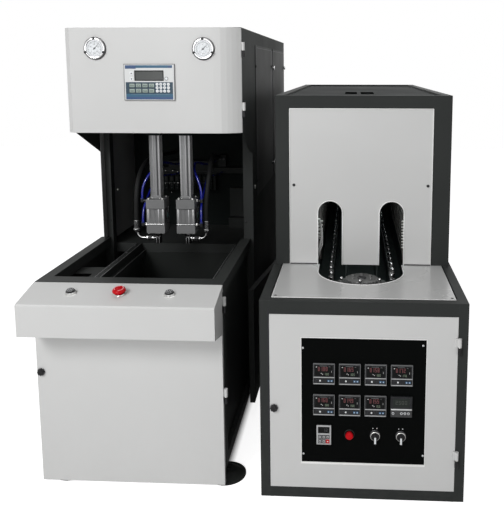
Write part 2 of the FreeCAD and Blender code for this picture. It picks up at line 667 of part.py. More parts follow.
# blowing units
bw = s.barrelw / 2
bb, bt, cz = s.barrelbot, s.barreltop, s.capz
nr, rr, prr = s.nozzler, s.rodr, s.pistonr
ntip = bb - s.nozzledrop
barrels, longs = [], []
for x, side, out in ((ux[0], "left", -1), (ux[1], "right", 1)):
    caps = [box(x - bw, x + bw, uy - bw, uy + bw, bb, bb + cz), box(x - bw, x + bw, uy - bw, uy + bw, bt - cz, bt)]
    iw = bw - 3
    rib = bw - 1
    mid_ = [box(x - iw, x + iw, uy - iw, uy + iw, bb + 1, bt - 1)]
    for dx in (-1, 1):
        for dy in (-1, 1):
            cx_, cy_ = x + (rib - 8) * dx, uy + (rib - 8) * dy
            mid_.append(box(cx_ - 8, cx_ + 8, cy_ - 8, cy_ + 8, bb + 1, bt - 1))
    barrel = cut(fuse(*(caps + mid_)),
                 cyl("z", x, uy, bb + 12, prr + s.fit, bt - bb - 24),
                 cyl("z", x, uy, bb - 1, nr + s.fit, 20),
                 cyl("z", x, uy, bt - 20, rr + s.fit, 30),
                 box(x - 3, x + 3, uy - bw - 1, uy - bw + 4, bb + cz, bt - cz))
    barrels.append(barrel)
    grooves = []
    for dx in (-1, 1):
        grooves.append(box(x + sw * dx - 2.5, x + sw * dx + 2.5, uy - 4, uy + 4, bt + 12, s.stretchtop - 12))
        grooves.append(box(x + 10 * dx - 1.2, x + 10 * dx + 1.2, uy - sw - 1, uy - sw + 1.5, bt + 12, s.stretchtop - 12))
    long_ = cut(box(x - sw, x + sw, uy - sw, uy + sw, bt, s.stretchtop),
                cyl("z", x, uy, bt + 10, 15 + s.fit, s.stretchtop - bt - 20),
                cyl("z", x, uy, bt - 1, rr + s.fit, 20), *grooves)
    longs.append(long_)
    # nozzle with its piston, side nut, bent pipe and hose ferrule
    top = bb + 12 + s.sealstroke + 4
    stem = fuse(cyl("z", x, uy, ntip, nr, top - ntip + 1), cyl("z", x, uy, top, prr, 14),
                cyl("z", x, uy, ntip + 8, nr + 1.5, 30))
    nutz = ntip + 21
    reach = 86.5 if out < 0 else 75.0
    x_far = x + reach * out
    turn_r = 24.0
    start = V((x + (nr + 3) * out).v, uy.v, nutz.v)
    bend0 = V((x_far - turn_r * out).v, uy.v, nutz.v)
    bend1 = V(x_far.v, uy.v, nutz.v + turn_r)
    bendm = V(x_far.v - turn_r * out * (1 - math.sqrt(0.5)), uy.v, nutz.v + turn_r * (1 - math.sqrt(0.5)))
    end = V(x_far.v, uy.v, nutz.v + 32)
    path = Part.Wire([Part.LineSegment(start, bend0).toShape(), Part.Arc(bend0, bendm, bend1).toShape(), Part.LineSegment(bend1, end).toShape()])
    circle = Part.Wire([Part.Circle(start, V(out, 0, 0), 4.5).toShape()])
    pipe = new("Part::Feature", "Pipe")
    pipe.Shape = path.makePipeShell([circle], True, False)
    nut = cyl("x", x + (nr + 1) if out > 0 else x - nr - 1 - 22, uy, nutz, 7.5, 22)
    hexes = cyl("x", x + (nr + 10) if out > 0 else x - nr - 10 - 9, uy, nutz, 9, 9)
    ferrule = cut(fuse(cyl("z", x_far, uy, nutz + 30, 12, 42), cyl("z", x_far, uy, nutz + 34, 13.5, 6)), cyl("z", x_far, uy, nutz + 42, s.hoser + 0.3, 50))
    # the air flows down round the rod, which only the piston guides
    nozzle = cut(fuse(stem, pipe, nut, hexes, ferrule), cyl("z", x, uy, ntip - 1, rr + s.fit, 200), cyl("z", x, uy, ntip - 1, rr + 2.5, top - ntip - 4))
    finish(nozzle, "blow_nozzle_" + side)
    # stretch rod with its piston high in the long cylinder
    ptop = s.stretchtop - 14
    rod = fuse(cyl("z", x, uy, ntip + 4, rr, ptop - 12 - ntip - 4), cyl("z", x, uy, ptop - 13, 15, 13))
    finish(rod, "stretch_rod_" + side)
    # high pressure hose, held at the ferrule and at the back of the bay
    hz = nutz.v + 43
    xf = x_far.v
    if out < 0:
        pts = [(xf, uy.v, hz), (xf, uy.v, hz + 80), (xf + 1, uy.v + 8, hz + 150), (xf + 3, uy.v + 42, hz + 208), (xf + 6, uy.v + 104, hz + 244),
               (xf + 10, uy.v + 190, hz + 258), (xf + 12, uy.v + 300, hz + 256), (xf + 11, uy.v + 420, hz + 244), (xf + 9, s.baydeep.v - 12, hz + 234)]
    else:
        pts = [(xf, uy.v, hz), (xf, uy.v, hz + 82), (xf + 5, uy.v + 6, hz + 152), (xf + 9, uy.v + 30, hz + 212), (xf + 7, uy.v + 78, hz + 252),
               (xf - 3, uy.v + 150, hz + 270), (xf - 18, uy.v + 240, hz + 266), (xf - 34, uy.v + 335, hz + 246), (xf - 47, uy.v + 430, hz + 226), (xf - 54, s.baydeep.v - 48, hz + 216)]
    free("pressure_hose_" + side, hose(pts, s.hoser.v))

group("seal_cylinders", barrels)
group("stretch_cylinders", longs)

# blue air tubes from the cylinder ports to the valves at the back of the bay
fittings = []
for x, side, out in ((ux[0], "left", -1), (ux[1], "right", 1)):
    edge = x + s.barrelw / 2 * out
    for level, z in (("upper", bt - 11), ("lower", bb + 32)):
        arm = (25.0 if out < 0 else 21.0) if level == "upper" else (19.0 if out < 0 else 22.0)
        dx = edge + arm * out
        dy = uy if level == "upper" else uy - 18
        fittings.append(fuse(cyl("x", edge if out > 0 else dx, dy, z, 5.5, arm), cyl("z", dx, dy, z - 6, 7, 16),
                             cyl("x", edge if out > 0 else edge - 9, dy, z, 7.5, 9)))
        a, b, c = dx.v, dy.v, z.v + 10.3
        o = float(out)
        if level == "upper":
            pts = [(a, b, c), (a, b, c + 32), (a - 12 * o, b + 6, c + 70), (a - 32 * o, b + 26, c + 104), (a - 44 * o, b + 74, c + 124),
                   (a - 50 * o, b + 140, c + 126), (a - 50 * o, b + 220, c + 112), (a - 48 * o, b + 305, c + 94), (a - 46 * o, b + 400, c + 82), (a - 46 * o, s.baydeep.v - 50, c + 78)]
        else:
            pts = [(a, b, c), (a, b, c + 34), (a - 3 * o, b + 18, c + 66), (a - 5 * o, b + 58, c + 94), (a - 7 * o, b + 106, c + 122),
                   (a - 10 * o, b + 164, c + 144), (a - 14 * o, b + 236, c + 150), (a - 18 * o, b + 318, c + 140), (a - 20 * o, b + 412, c + 126), (a - 20 * o, s.baydeep.v - 50, c + 118)]
        free("air_tube_%s_%s" % (side, level), hose(pts, s.airr.v))
group("air_fittings", fittings)

# back of the bay
finish(box(tl, tr, s.baydeep, s.baydeep + k, pitz, s.headbot), "bay_back_panel")
by_ = s.baydeep
welded("valve_manifold", [
    (-155, tr, by_ - 40, by_, 952, 979),
    (-120, 85, by_ - 46, by_, 979, 1012),
    (-150, 105, by_ - 46, by_, 872, 952),
    (118, 156, by_ - 42, by_, 985, 1040),
    (170, tr, by_ - 30, by_, 740, 880),
    (168, 262, by_ - 60, by_, pitz, 738),
])

# --------------------------------------------------------------- heating cabinet
hc = s.hx
hul, hur = hc - s.huwide / 2, hc + s.huwide / 2
g = s.htube
hz0, hz1, hz2 = s.hframez, s.htable, s.htop
hb_ = s.hdeep
uf = s.hupfront
side_in = (s.hwide - s.huwide) / 2
welded("heater_frame", [
    (hl, hl + g, hcf, hcf + g, hz0, hz1),
    (hr - g, hr, hcf, hcf + g, hz0, hz1),
    (hl, hl + g, hb_ - g, hb_, hz0, hz1),
    (hr - g, hr, hb_ - g, hb_, hz0, hz1),
    (hl, hr, hcf, hcf + g * 1.5, hz1 - 45, hz1),
    (hl, hr, hcf, hcf + g, hz0, s.hdoorbot - s.gap),
    (hl, hr, hb_ - g, hb_, hz1 - g, hz1),
    (hl, hr, hb_ - g, hb_, hz0, hz0 + g),
    (hl, hl + g, hcf, hb_, hz1 - g, hz1),
    (hr - g, hr, hcf, hb_, hz1 - g, hz1),
    (hl, hl + g, hcf, hb_, hz0, hz0 + g),
    (hr - g, hr, hcf, hb_, hz0, hz0 + g),
    (hul, hul + s.hpost, uf, uf + g, hz1, hz2),
    (hur - s.hpost, hur, uf, uf + g, hz1, hz2),
    (hul, hul + g, hb_ - g, hb_, hz1, hz2),
    (hur - g, hur, hb_ - g, hb_, hz1, hz2),
    (hul, hur, uf, uf + g, hz2 - 50, hz2),
    (hul, hur, hb_ - g, hb_, hz2 - g, hz2),
    (hul, hul + g, uf, hb_, hz2 - g, hz2),
    (hur - g, hur, uf, hb_, hz2 - g, hz2),
])

side_sheets = []
for x0, x1, w in ((hul - k, hul, -1), (hur, hur + k, 1)):
    side_sheets.append(box(x0, x1, uf, hb_, hz1 + 1, hz2))
    lo_x = hl - k if w < 0 else hr
    side_sheets.append(box(lo_x, lo_x + k, hcf, hb_, hz0, hz1 - 0.3))
group("heater_side_panels", side_sheets)
hrear = cut(box(hul, hur, hb_, hb_ + k, hz0, hz2),
            *[box(hc - 220, hc + 220, hb_ - 1, hb_ + 5, z, z + 8) for z in (150, 175, 200, 225, 1150, 1175, 1200, 1225)])
finish(hrear, "heater_rear_panel")
deck = cut(box(hul + g, hur - g, uf + g, hb_ - g, hz2 - 10, hz2 - 8),
           box(hc - 73, hc - 20, 730, 975, hz2 - 30, hz2), box(hc - 3, hc + 54, 730, 975, hz2 - 30, hz2))
finish(deck, "heater_top_deck")

# upper front sheet with its two arches, and the table sheet with the half-round cut
ar, ax_ = s.archr, s.archx
face = pad("XZ", [(hc - 277, hz1 + k), (hc + 263, hz1 + k), (hc + 263, hz2 - 49), (hc - 277, hz2 - 49)], uf - k, k)
arches = []
for d in (-1, 1):
    arches.append(box(hc - 5 + ax_ * d - ar, hc - 5 + ax_ * d + ar, uf - 10, uf + 10, hz1 - 10, s.archspring))
    arches.append(cyl("y", hc - 5 + ax_ * d, uf - 10, s.archspring, ar, 20))
screws = [cyl("-y", hc + dx, uf - k, 1010, 5, 2) for dx in (-261, 247)]
finish(fuse(cut(face, *arches), *screws), "heater_front_panel")

cr = s.cutr
wy = s.wheely
cy = s.cuty
top_sheet = pad("XY", [(hc - 304, s.hfront + 32), (hc + 304, s.hfront + 32), (hc + 304, uf), (hc - 304, uf)], hz1, k)
cx5 = hc - 5
top_sheet = cut(top_sheet, cyl("z", cx5, cy, hz1 - 5, cr, 20), box(cx5 - cr, cx5 + cr, cy, uf + 5, hz1 - 5, hz1 + 15))
tscrews = [cyl("z", hc + dx, s.hfront + 41, hz1 + k, 4, 2) for dx in (-292, 292)]
finish(fuse(top_sheet, *tscrews), "heater_table_panel")

# door with its window for the instrument sheet
hd0, hd1 = hc - s.hdoorw / 2, hc + s.hdoorw / 2
dy0, dy1 = s.hfront, s.hfront + s.hdoort
w0, w1 = hc + s.winx0, hc + s.winx1
hdoor2 = cut(box(hd0, hd1, dy0, dy1, s.hdoorbot, s.hdoortop),
             box(hd0 + k, hd1 - k, dy0 + k, dy1 + 1, s.hdoorbot + k, s.hdoortop - k),
             box(w0, w1, dy0 - 5, dy1 + 5, s.winz0, s.winz1))
kn = []
for z in (553, 159):
    kn.append(cut(fuse(cyl("z", hhx, s.hhingeb, z + s.gap, s.hinger, 28), box(hd1 - 9, hhx, s.hhingeb - 1.5, s.hhingeb + 1.5, z + s.gap, z + 28 + s.gap),
                       box(hd1 - 9, hd1 - 2, s.hhingeb - 1.5, dy0 + 1, z + s.gap, z + 28 + s.gap)),
                  cyl("z", hhx, s.hhingeb, z - 1, s.pinr + s.fit, 25)))
hlx, hlz = hc - 295, 325
finish(cut(fuse(hdoor2, *kn), cyl("y", hlx, dy0 - 2, hlz, 5 + s.fit, 10)), "heater_door")
finish(spin([(0, -12), (5, -12), (5, 0.4), (11, 0.4), (11, 9), (8, 13), (0, 13)], TURN["-y"], hlx, dy0, hlz, "Latch"), "heater_door_latch")

cols = [hc + s.ctrlx0 + s.ctrldx * i for i in range(4)]
zrows = [s.ctrlz0, s.ctrlz0 - s.ctrldz]
cw = s.ctrl / 2
py = dy0 + k
holes = [box(x - cw + 3, x + cw - 3, py - 5, py + 10, z - cw + 3, z + cw - 3) for x in cols for z in zrows]
holes.append(box(cols[0] - 21, cols[0] + 21, py - 5, py + 10, s.buttonz - 31, s.buttonz + 31))
holes += [cyl("y", x, py - 5, s.buttonz, 11.2, 15) for x in cols[1:]]
lips = [box(w0 - 6, w1 + 6, py, dy1 + 6, s.winz0 - 6, s.winz0 - 6 + k), box(w0 - 6, w1 + 6, py, dy1 + 6, s.winz1 + 6 - k, s.winz1 + 6)]
pscrews = [cyl("-y", x, py, z, 4, 2) for x in (w0 + 12, w1 - 12) for z in (s.winz0 + 12, s.winz1 - 12)]
panel = cut(fuse(box(w0 - 6, w1 + 6, py, py + k, s.winz0 - 6, s.winz1 + 6), *lips), *holes)
finish(fuse(panel, *pscrews), "instrument_panel")
ctrls = []
for z in zrows:
    for x in cols:
        body = fuse(box(x - cw, x + cw, py - 6, py, z - cw, z + cw), box(x - cw + 4, x + cw - 4, py - 1, py + 70, z - cw + 4, z + cw - 4))
        recess = box(x - cw + 5, x + cw - 5, py - 7, py - 4.5, z - 8, z + cw - 5)
        key = [box(x + dx - 5, x + dx + 5, py - 7.2, py - 5, z - 26, z - 19) for dx in (-22.5, -7.5, 7.5, 22.5)]
        ctrls.append(fuse(cut(body, recess), *key))
kx = cols[0]
ctrls.append(fuse(cut(box(kx - 24, kx + 24, py - 7, py, s.buttonz - 34, s.buttonz + 34), box(kx - 18, kx + 18, py - 8, py - 5.5, s.buttonz + 6, s.buttonz + 28)),
                  box(kx - 20, kx + 20, py - 1, py + 60, s.buttonz - 30, s.buttonz + 30),
                  *[box(kx + dx - 5, kx + dx + 5, py - 8.4, py - 6, s.buttonz + dz - 4, s.buttonz + dz + 4) for dx in (-12, 0, 12) for dz in (-8, -22)]))
group("temperature_controllers", ctrls)
bx = cols[1]
finish(spin([(0, -22), (11.1, -22), (11.1, 5), (13, 5), (13, 10), (11, 13), (0, 13)], TURN["-y"], bx, py - 0.8, s.buttonz, "Button"), "heating_button")
for x, side in ((cols[2], "left"), (cols[3], "right")):
    knob = spin([(0, -22), (11.1, -22), (11.1, 0.5), (15, 0.5), (15, 6), (12, 8), (0, 8)], TURN["-y"], x, py - 0.8, s.buttonz, "Knob")
    finish(fuse(knob, box(x - 3.5, x + 3.5, py - 20, py - 6, s.buttonz - 14, s.buttonz + 12)), "selector_" + side)

# spindle chain: sprockets front and rear, a chain that carries the preform spindles
n_turn = int(round(s.teeth.v))
n_run = int(round(s.runs.v))
pr_ = s.pitchr
step = pr_ * 2 * math.sin(math.pi / n_turn)
wy2 = wy + step * n_run
linkz = s.spindletop - 62
wheel_r = pr_ - 16
hubz = linkz - 8


def sprocket(y):
    disc = spin([(0, -50), (12, -50), (12, 0), (wheel_r, 0), (wheel_r, 12), (30, 12), (30, 30), (59, 30), (59, 38), (0, 38)], TURN["z"], hc, y, hubz, "Sprocket")
    holes_ = [cyl("z", hc + 76 * math.cos(math.radians(a)), y + 76 * math.sin(math.radians(a)), hubz - 5, 12, 20) for a in range(0, 360, 60)]
    bolts = [cyl("z", hc + 38 * math.cos(math.radians(a)), y + 38 * math.sin(math.radians(a)), hubz + 37, 5, 5) for a in range(30, 390, 60)]
    return fuse(cut(disc, *holes_), *bolts)


finish(sprocket(wy), "front_sprocket")
finish(sprocket(wy2), "rear_sprocket")

half, phase = n_turn // 2, 0.39
stations_ = []
for i in range(half):
    a = math.pi + math.pi * (i + phase) / half
    stations_.append((hc + pr_ * math.cos(a), wy + pr_ * math.sin(a)))
for i in range(n_run):
    stations_.append((hc + pr_, wy + step * (i + phase)))
for i in range(half):
    a = math.pi * (i + phase) / half
    stations_.append((hc + pr_ * math.cos(a), wy2 + pr_ * math.sin(a)))
for i in range(n_run):
    stations_.append((hc - pr_, wy2 - step * (i + phase)))
chain = []
for i, (x, y) in enumerate(stations_):
    chain.append(spin([(0, 0), (10, 0), (10, 14), (5.5, 17), (5.5, 46), (4, 54), (0, 54)], TURN["z"], x, y, linkz + 8, "Spindle"))
links = []
for i, (x, y) in enumerate(stations_):
    x2, y2 = stations_[(i + 1) % len(stations_)]
    dx, dy = x2.v - x.v, y2.v - y.v
    ln = math.hypot(dx, dy)
    a, b = dx / ln, dy / ln
    w = 7.0
    loop = [(x - w * b, y + w * a), (x + w * b, y - w * a), (x2 + w * b, y2 - w * a), (x2 - w * b, y2 + w * a)]
    links.append(pad("XY", loop, linkz + (4 if i % 2 else 0), 4, name="Link"))
group("spindle_chain", chain + links)

# chain bed on cross bars, bearing blocks, reflectors and lamp banks on both sides of each run
bed0, bed1 = uf + 60, wy2 - 130
bedz = linkz - 69
bars = [
    (hul + g + 2, hur - g - 2, uf + 40, hb_ - g - 2, bedz - 3, bedz),
    (hc - 128, hc + 128, wy - 40, uf + 40, bedz - 3, bedz),
    (hc - pr_ - 6, hc - pr_ + 6, wy, wy2, bedz, linkz),
    (hc + pr_ - 6, hc + pr_ + 6, wy, wy2, bedz, linkz),
]
for y in (500, 1100, 1700):
    bars.append((hl, hl + g, y, y + 30, bedz - 33, hz1 - g))
    bars.append((hr - g, hr, y, y + 30, bedz - 33, hz1 - g))
    bars.append((hl + g, hr - g, y, y + 30, bedz - 33, bedz - 3))
for x in (-62, 59, -178, 175):
    bars.append((hc + x, hc + x + 3, bed0 - 14, bed1 + 14, bedz, bedz + 370))
welded("oven_bed", bars)
blocks = [cut(cyl("z", hc, y, bedz, 24, 44), cyl("z", hc, y, bedz + 4, 12 + s.fit, 50)) for y in (wy, wy2)]
group("sprocket_bearings", blocks)
tubes = []
for x in (-168, 165):
    for j in range(7):
        tubes.append(cyl("y", hc + x, bed0 - 6, linkz + 90 + 30 * j, 5, bed1 - bed0 + 12))
lamp_ends = []
for x in (-175, 159):
    for yy in (bed0 - 12, bed1 + 1):
        lamp_ends.append(box(hc + x, hc + x + 16, yy, yy + 10, linkz + 70, linkz + 290))
group("lamp_banks", [fuse(*(tubes[:7] + lamp_ends[:2])), fuse(*(tubes[7:] + lamp_ends[2:]))])
motor = fuse(box(hc - 60, hc + 60, wy2 - 60, wy2 + 60, bedz - 150, bedz - 8), cyl("y", hc, wy2 - 250, bedz - 90, 48, 195),
             box(hc - 90, hc + 90, wy2 - 75, wy2 + 75, bedz - 9, bedz - 3), cyl("y", hc, wy2 - 262, bedz - 90, 42, 15))
finish(motor, "chain_motor")

doc.recompute()

bad = [o.Label for o in doc.Objects if "Invalid" in o.State or "Error" in o.State]
if bad:
    raise RuntimeError("objects that failed: " + ", ".join(bad))
wrong = [o.Label for o in parts if o.Shape.isNull() or not o.Shape.isValid()]
if wrong:
    raise RuntimeError("invalid shapes: " + ", ".join(wrong))

os.makedirs("parts", exist_ok=True)
for obj in parts:
    obj.Shape.exportStep("parts/%s.step" % obj.Label)
print(len(parts), "sub-parts written")
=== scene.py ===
import bpy, bmesh, math
from mathutils import Vector, Matrix


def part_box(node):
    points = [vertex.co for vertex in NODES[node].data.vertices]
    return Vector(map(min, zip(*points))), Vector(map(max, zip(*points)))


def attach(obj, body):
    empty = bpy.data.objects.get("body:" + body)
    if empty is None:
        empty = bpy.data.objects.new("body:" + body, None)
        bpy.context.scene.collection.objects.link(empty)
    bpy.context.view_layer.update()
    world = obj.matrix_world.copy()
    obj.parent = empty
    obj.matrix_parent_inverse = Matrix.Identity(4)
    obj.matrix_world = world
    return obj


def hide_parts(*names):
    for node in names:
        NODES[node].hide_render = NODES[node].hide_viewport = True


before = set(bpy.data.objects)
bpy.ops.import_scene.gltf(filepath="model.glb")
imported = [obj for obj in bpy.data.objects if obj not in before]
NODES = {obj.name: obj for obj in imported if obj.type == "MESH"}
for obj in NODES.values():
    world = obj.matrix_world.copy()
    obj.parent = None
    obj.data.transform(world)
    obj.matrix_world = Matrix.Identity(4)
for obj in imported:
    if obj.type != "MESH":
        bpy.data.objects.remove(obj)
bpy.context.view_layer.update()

OFFSET_X, OFFSET_Y = -407.5, -973.5      # the blowing cabinet's own frame, in mm, against the shared one
FRONT, UP, RIGHT = (0, -1, 0), (0, 0, 1), (1, 0, 0)


def P(x, y, z):
    """A place given in millimetres in the blowing cabinet's frame, in metres in the shared one."""
    return Vector(((x + OFFSET_X) / 1000.0, (y + OFFSET_Y) / 1000.0, z / 1000.0))


def add_node(tree, kind, operation=None, sockets=None, **values):
    """A new node; its inputs are set by number in sockets, or by name with _ for a space."""
    n = tree.nodes.new(kind)
    if operation:
        n.operation = operation
    for k, v in (sockets or {}).items():
        n.inputs[k].default_value = v
    for k, v in values.items():
        n.inputs[k.replace("_", " ")].default_value = v
    return n


def wire(tree, *ends):
    """Joins outputs to inputs, given in turn."""
    for source, target in zip(ends[::2], ends[1::2]):
        tree.links.new(source, target)


# ------------------------------------------------------------------ camera and light
camera_data = bpy.data.cameras.new("camera")
camera = bpy.data.objects.new("camera", camera_data)
bpy.context.collection.objects.link(camera)
camera_data.sensor_width, camera_data.sensor_fit = 36.0, "AUTO"
camera_data.lens = 46.004
camera_data.shift_x, camera_data.shift_y = -0.12595, -0.19466
camera_data.clip_end = 60.0
camera.location = P(757.8, -2144.4, 1449.8)
YAW, PITCH = math.radians(-2.933), math.radians(-7.778)
ahead = Vector((math.sin(YAW) * math.cos(PITCH), math.cos(YAW) * math.cos(PITCH), math.sin(PITCH)))
aside = Vector((math.cos(YAW), -math.sin(YAW), 0.0))
camera.rotation_mode = "QUATERNION"
camera.rotation_quaternion = Matrix((aside, aside.cross(ahead), -ahead)).transposed().to_quaternion()
bpy.context.scene.camera = camera

ROOM_LIGHT = 0.16                # what the white room gives to the machine
world = bpy.data.worlds.new("studio")
bpy.context.scene.world = world
world.use_nodes = True
room = world.node_tree
background = room.nodes["Background"].inputs
background["Color"].default_value = (1, 1, 1, 1)
# the room is plain white where it is seen, mirrored or looked through, and lights the machine softly
rays = add_node(room, "ShaderNodeLightPath").outputs
mirrored, seen = (add_node(room, "ShaderNodeMath", "MAXIMUM") for _ in range(2))
power = add_node(room, "ShaderNodeMapRange", To_Min=ROOM_LIGHT, To_Max=1.0)
wire(room, rays["Is Glossy Ray"], mirrored.inputs[0], rays["Is Transmission Ray"], mirrored.inputs[1],
     rays["Is Camera Ray"], seen.inputs[0], mirrored.outputs[0], seen.inputs[1],
     seen.outputs[0], power.inputs["Value"], power.outputs[0], background["Strength"])


def area(name, place, target, size, watts, colour=(1, 1, 1), size_y=None):
    data = bpy.data.lights.new(name, "AREA")
    data.shape = "RECTANGLE"
    data.size, data.size_y = size, size_y or size
    data.energy, data.color = watts, colour
    lamp = bpy.data.objects.new(name, data)
    lamp.location = place
    lamp.rotation_mode = "QUATERNION"
    lamp.rotation_quaternion = (Vector(place) - Vector(target)).to_track_quat("Z", "Y")
    bpy.context.collection.objects.link(lamp)


area("key", (-2.0, -4.2, 3.2), (0, -0.3, 0.7), 1.4, 112)
area("front", (-0.6, -5.2, 1.7), (0, -0.6, 0.7), 2.0, 38)
area("right", (3.4, -3.6, 1.6), (0, -0.3, 0.8), 1.6, 9)
area("top", (0.0, -0.2, 4.4), (0, -0.2, 0.5), 2.6, 36)
# stray light behind the arches
area("oven", P(798, 402, 1200), P(798, 640, 640), 0.42, 1.3, (0.86, 1.0, 1.0), 0.05)

bpy.context.scene.view_settings.view_transform = "Standard"

# ------------------------------------------------------------------ materials
EDGE_WIDTH = 0.0012              # how far the lighter edge, part wear and part painted highlight, reaches in from an edge, and the radius of the rounded edges, in metres
DUST_TONE = (0.42, 0.40, 0.37)
MATS = {}


def group_surface():
    """Fine grain, broad drift of tone, an edge mask for wear and painted highlight, and dust masks shared by all
    materials.
    """
    t = bpy.data.node_groups.new("surface", "ShaderNodeTree")
    for name, value in (("Grain", 500.0), ("Bump", 0.1), ("Edge width", EDGE_WIDTH), ("Streak", 1.0)):
        t.interface.new_socket(name=name, in_out="INPUT", socket_type="NodeSocketFloat").default_value = value
    for name in ("Drift", "Edge", "Dust", "Fine"):
        t.interface.new_socket(name=name, in_out="OUTPUT", socket_type="NodeSocketFloat")
    t.interface.new_socket(name="Normal", in_out="OUTPUT", socket_type="NodeSocketVector")
    given, result = add_node(t, "NodeGroupInput").outputs, add_node(t, "NodeGroupOutput").inputs
    here = add_node(t, "ShaderNodeTexCoord").outputs["Object"]
    normal = add_node(t, "ShaderNodeNewGeometry").outputs["Normal"]
    # broad drift, and a fine grain that can be drawn out along Z
    drift = add_node(t, "ShaderNodeTexNoise", Scale=2.3, Detail=4.0)
    drawn, along = add_node(t, "ShaderNodeMapping"), add_node(t, "ShaderNodeCombineXYZ", X=1.0, Y=1.0)
    fine = add_node(t, "ShaderNodeTexNoise", Detail=2.0)
    wire(t, here, drift.inputs["Vector"], given["Streak"], along.inputs["Z"], here, drawn.inputs["Vector"],
         along.outputs[0], drawn.inputs["Scale"], drawn.outputs[0], fine.inputs["Vector"],
         given["Grain"], fine.inputs["Scale"])
    # rounded edges and bump
    rounded = add_node(t, "ShaderNodeBevel")
    rounded.samples = 4
    bump = add_node(t, "ShaderNodeBump", Distance=0.0006)
    wire(t, given["Edge width"], rounded.inputs["Radius"], given["Bump"], bump.inputs["Strength"],
         fine.outputs["Fac"], bump.inputs["Height"], rounded.outputs[0], bump.inputs["Normal"])
    # lighter edges in patches, where the rounded and the flat normal part: part wear, part painted highlight
    same = add_node(t, "ShaderNodeVectorMath", "DOT_PRODUCT")
    worn_and_lit_edge = add_node(t, "ShaderNodeMapRange", From_Min=0.995, From_Max=0.86, To_Min=0.0, To_Max=1.0)
    patch = add_node(t, "ShaderNodeTexNoise", Scale=34.0, Detail=5.0)
    patchy = add_node(t, "ShaderNodeMapRange", From_Min=0.42, From_Max=0.66)
    edge_wear_and_highlight, dust = (add_node(t, "ShaderNodeMath", "MULTIPLY") for _ in range(2))
    wire(t, rounded.outputs[0], same.inputs[0], normal, same.inputs[1], same.outputs["Value"], worn_and_lit_edge.inputs["Value"],
         here, patch.inputs["Vector"], patch.outputs["Fac"], patchy.inputs["Value"],
         worn_and_lit_edge.outputs[0], edge_wear_and_highlight.inputs[0], patchy.outputs[0], edge_wear_and_highlight.inputs[1])
    # dust near the floor and on what faces up
    height, facing = (add_node(t, "ShaderNodeSeparateXYZ") for _ in range(2))
    low = add_node(t, "ShaderNodeMapRange", From_Min=0.32, From_Max=0.0)
    top = add_node(t, "ShaderNodeMapRange", From_Min=0.7, From_Max=1.0, To_Max=0.55)
    either = add_node(t, "ShaderNodeMath", "MAXIMUM")
    wire(t, here, height.inputs[0], height.outputs[2], low.inputs["Value"],
         normal, facing.inputs[0], facing.outputs[2], top.inputs["Value"],
         low.outputs[0], either.inputs[0], top.outputs[0], either.inputs[1],
         either.outputs[0], dust.inputs[0], patchy.outputs[0], dust.inputs[1])
    wire(t, drift.outputs["Fac"], result["Drift"], edge_wear_and_highlight.outputs[0], result["Edge"], dust.outputs[0], result["Dust"],
         fine.outputs["Fac"], result["Fine"], bump.outputs[0], result["Normal"])
    return t


SURFACE = group_surface()


def material(name, colour, rough, metal=0.0, grain=500.0, bump=0.08, edge_wear_and_highlight=None, edge_wear_and_highlight_amount=0.5, dust=0.12, drift=0.10,
             streak=1.0, coat=0.0, emit=None, emit_power=0.0, transmission=0.0, fine_mix=0.0, spec=0.5, alpha=1.0):
    m = bpy.data.materials.new(name)
    m.use_nodes = True
    t = m.node_tree
    group = add_node(t, "ShaderNodeGroup")
    group.node_tree = SURFACE
    for socket, value in (("Grain", grain), ("Bump", bump), ("Edge width", EDGE_WIDTH), ("Streak", streak)):
        group.inputs[socket].default_value = value
    masks = group.outputs

    def over(under, tone, mask, amount):
        """Lays a tone over a colour, as strongly as the mask and the amount say."""
        mix = add_node(t, "ShaderNodeMix")
        mix.data_type = "RGBA"
        share = add_node(t, "ShaderNodeMath", "MULTIPLY", {1: amount})
        wire(t, masks[mask], share.inputs[0], share.outputs[0], mix.inputs[0])
        if isinstance(under, tuple):
            mix.inputs[6].default_value = (*under, 1)
        else:
            wire(t, under, mix.inputs[6])
        mix.inputs[7].default_value = (*tone, 1)
        return mix.outputs[2]

    dark = tuple(c * (1 - 2 * drift) for c in colour)
    light = tuple(min(1, c * (1 + drift * 0.6)) for c in colour)
    out = over(light, dark, "Drift", 1.0)
    if fine_mix:
        out = over(out, tuple(c * 0.55 for c in colour), "Fine", fine_mix)
    out = over(out, DUST_TONE, "Dust", dust)
    # edges take a lighter tone: part wear, part painted highlight
    out = over(out, edge_wear_and_highlight or tuple(min(1, c * 1.5 + 0.05) for c in colour), "Edge", edge_wear_and_highlight_amount)
    gloss = add_node(t, "ShaderNodeMapRange", From_Min=0.3, From_Max=0.7,
                     To_Min=max(0.02, rough - 0.05), To_Max=min(1, rough + 0.06))
    surface = t.nodes["Principled BSDF"].inputs
    wire(t, out, surface["Base Color"], masks["Drift"], gloss.inputs["Value"], gloss.outputs[0], surface["Roughness"],
         masks["Normal"], surface["Normal"])
    for socket, value in (("Metallic", metal), ("Coat Weight", coat), ("IOR", 1.45), ("Specular IOR Level", spec),
                          ("Alpha", alpha), ("Transmission Weight", transmission)):
        surface[socket].default_value = value
    if emit:
        surface["Emission Color"].default_value = (*emit, 1)
        surface["Emission Strength"].default_value = emit_power
    m.diffuse_color = (*colour, 1)
    MATS[name] = m


CLEAN = dict(bump=0.0, dust=0.0)
KEY = dict(grain=600, bump=0.02, dust=0.01)
MEMBRANE = dict(grain=700, bump=0.03, dust=0.01)
SCREEN = dict(grain=100, **CLEAN)
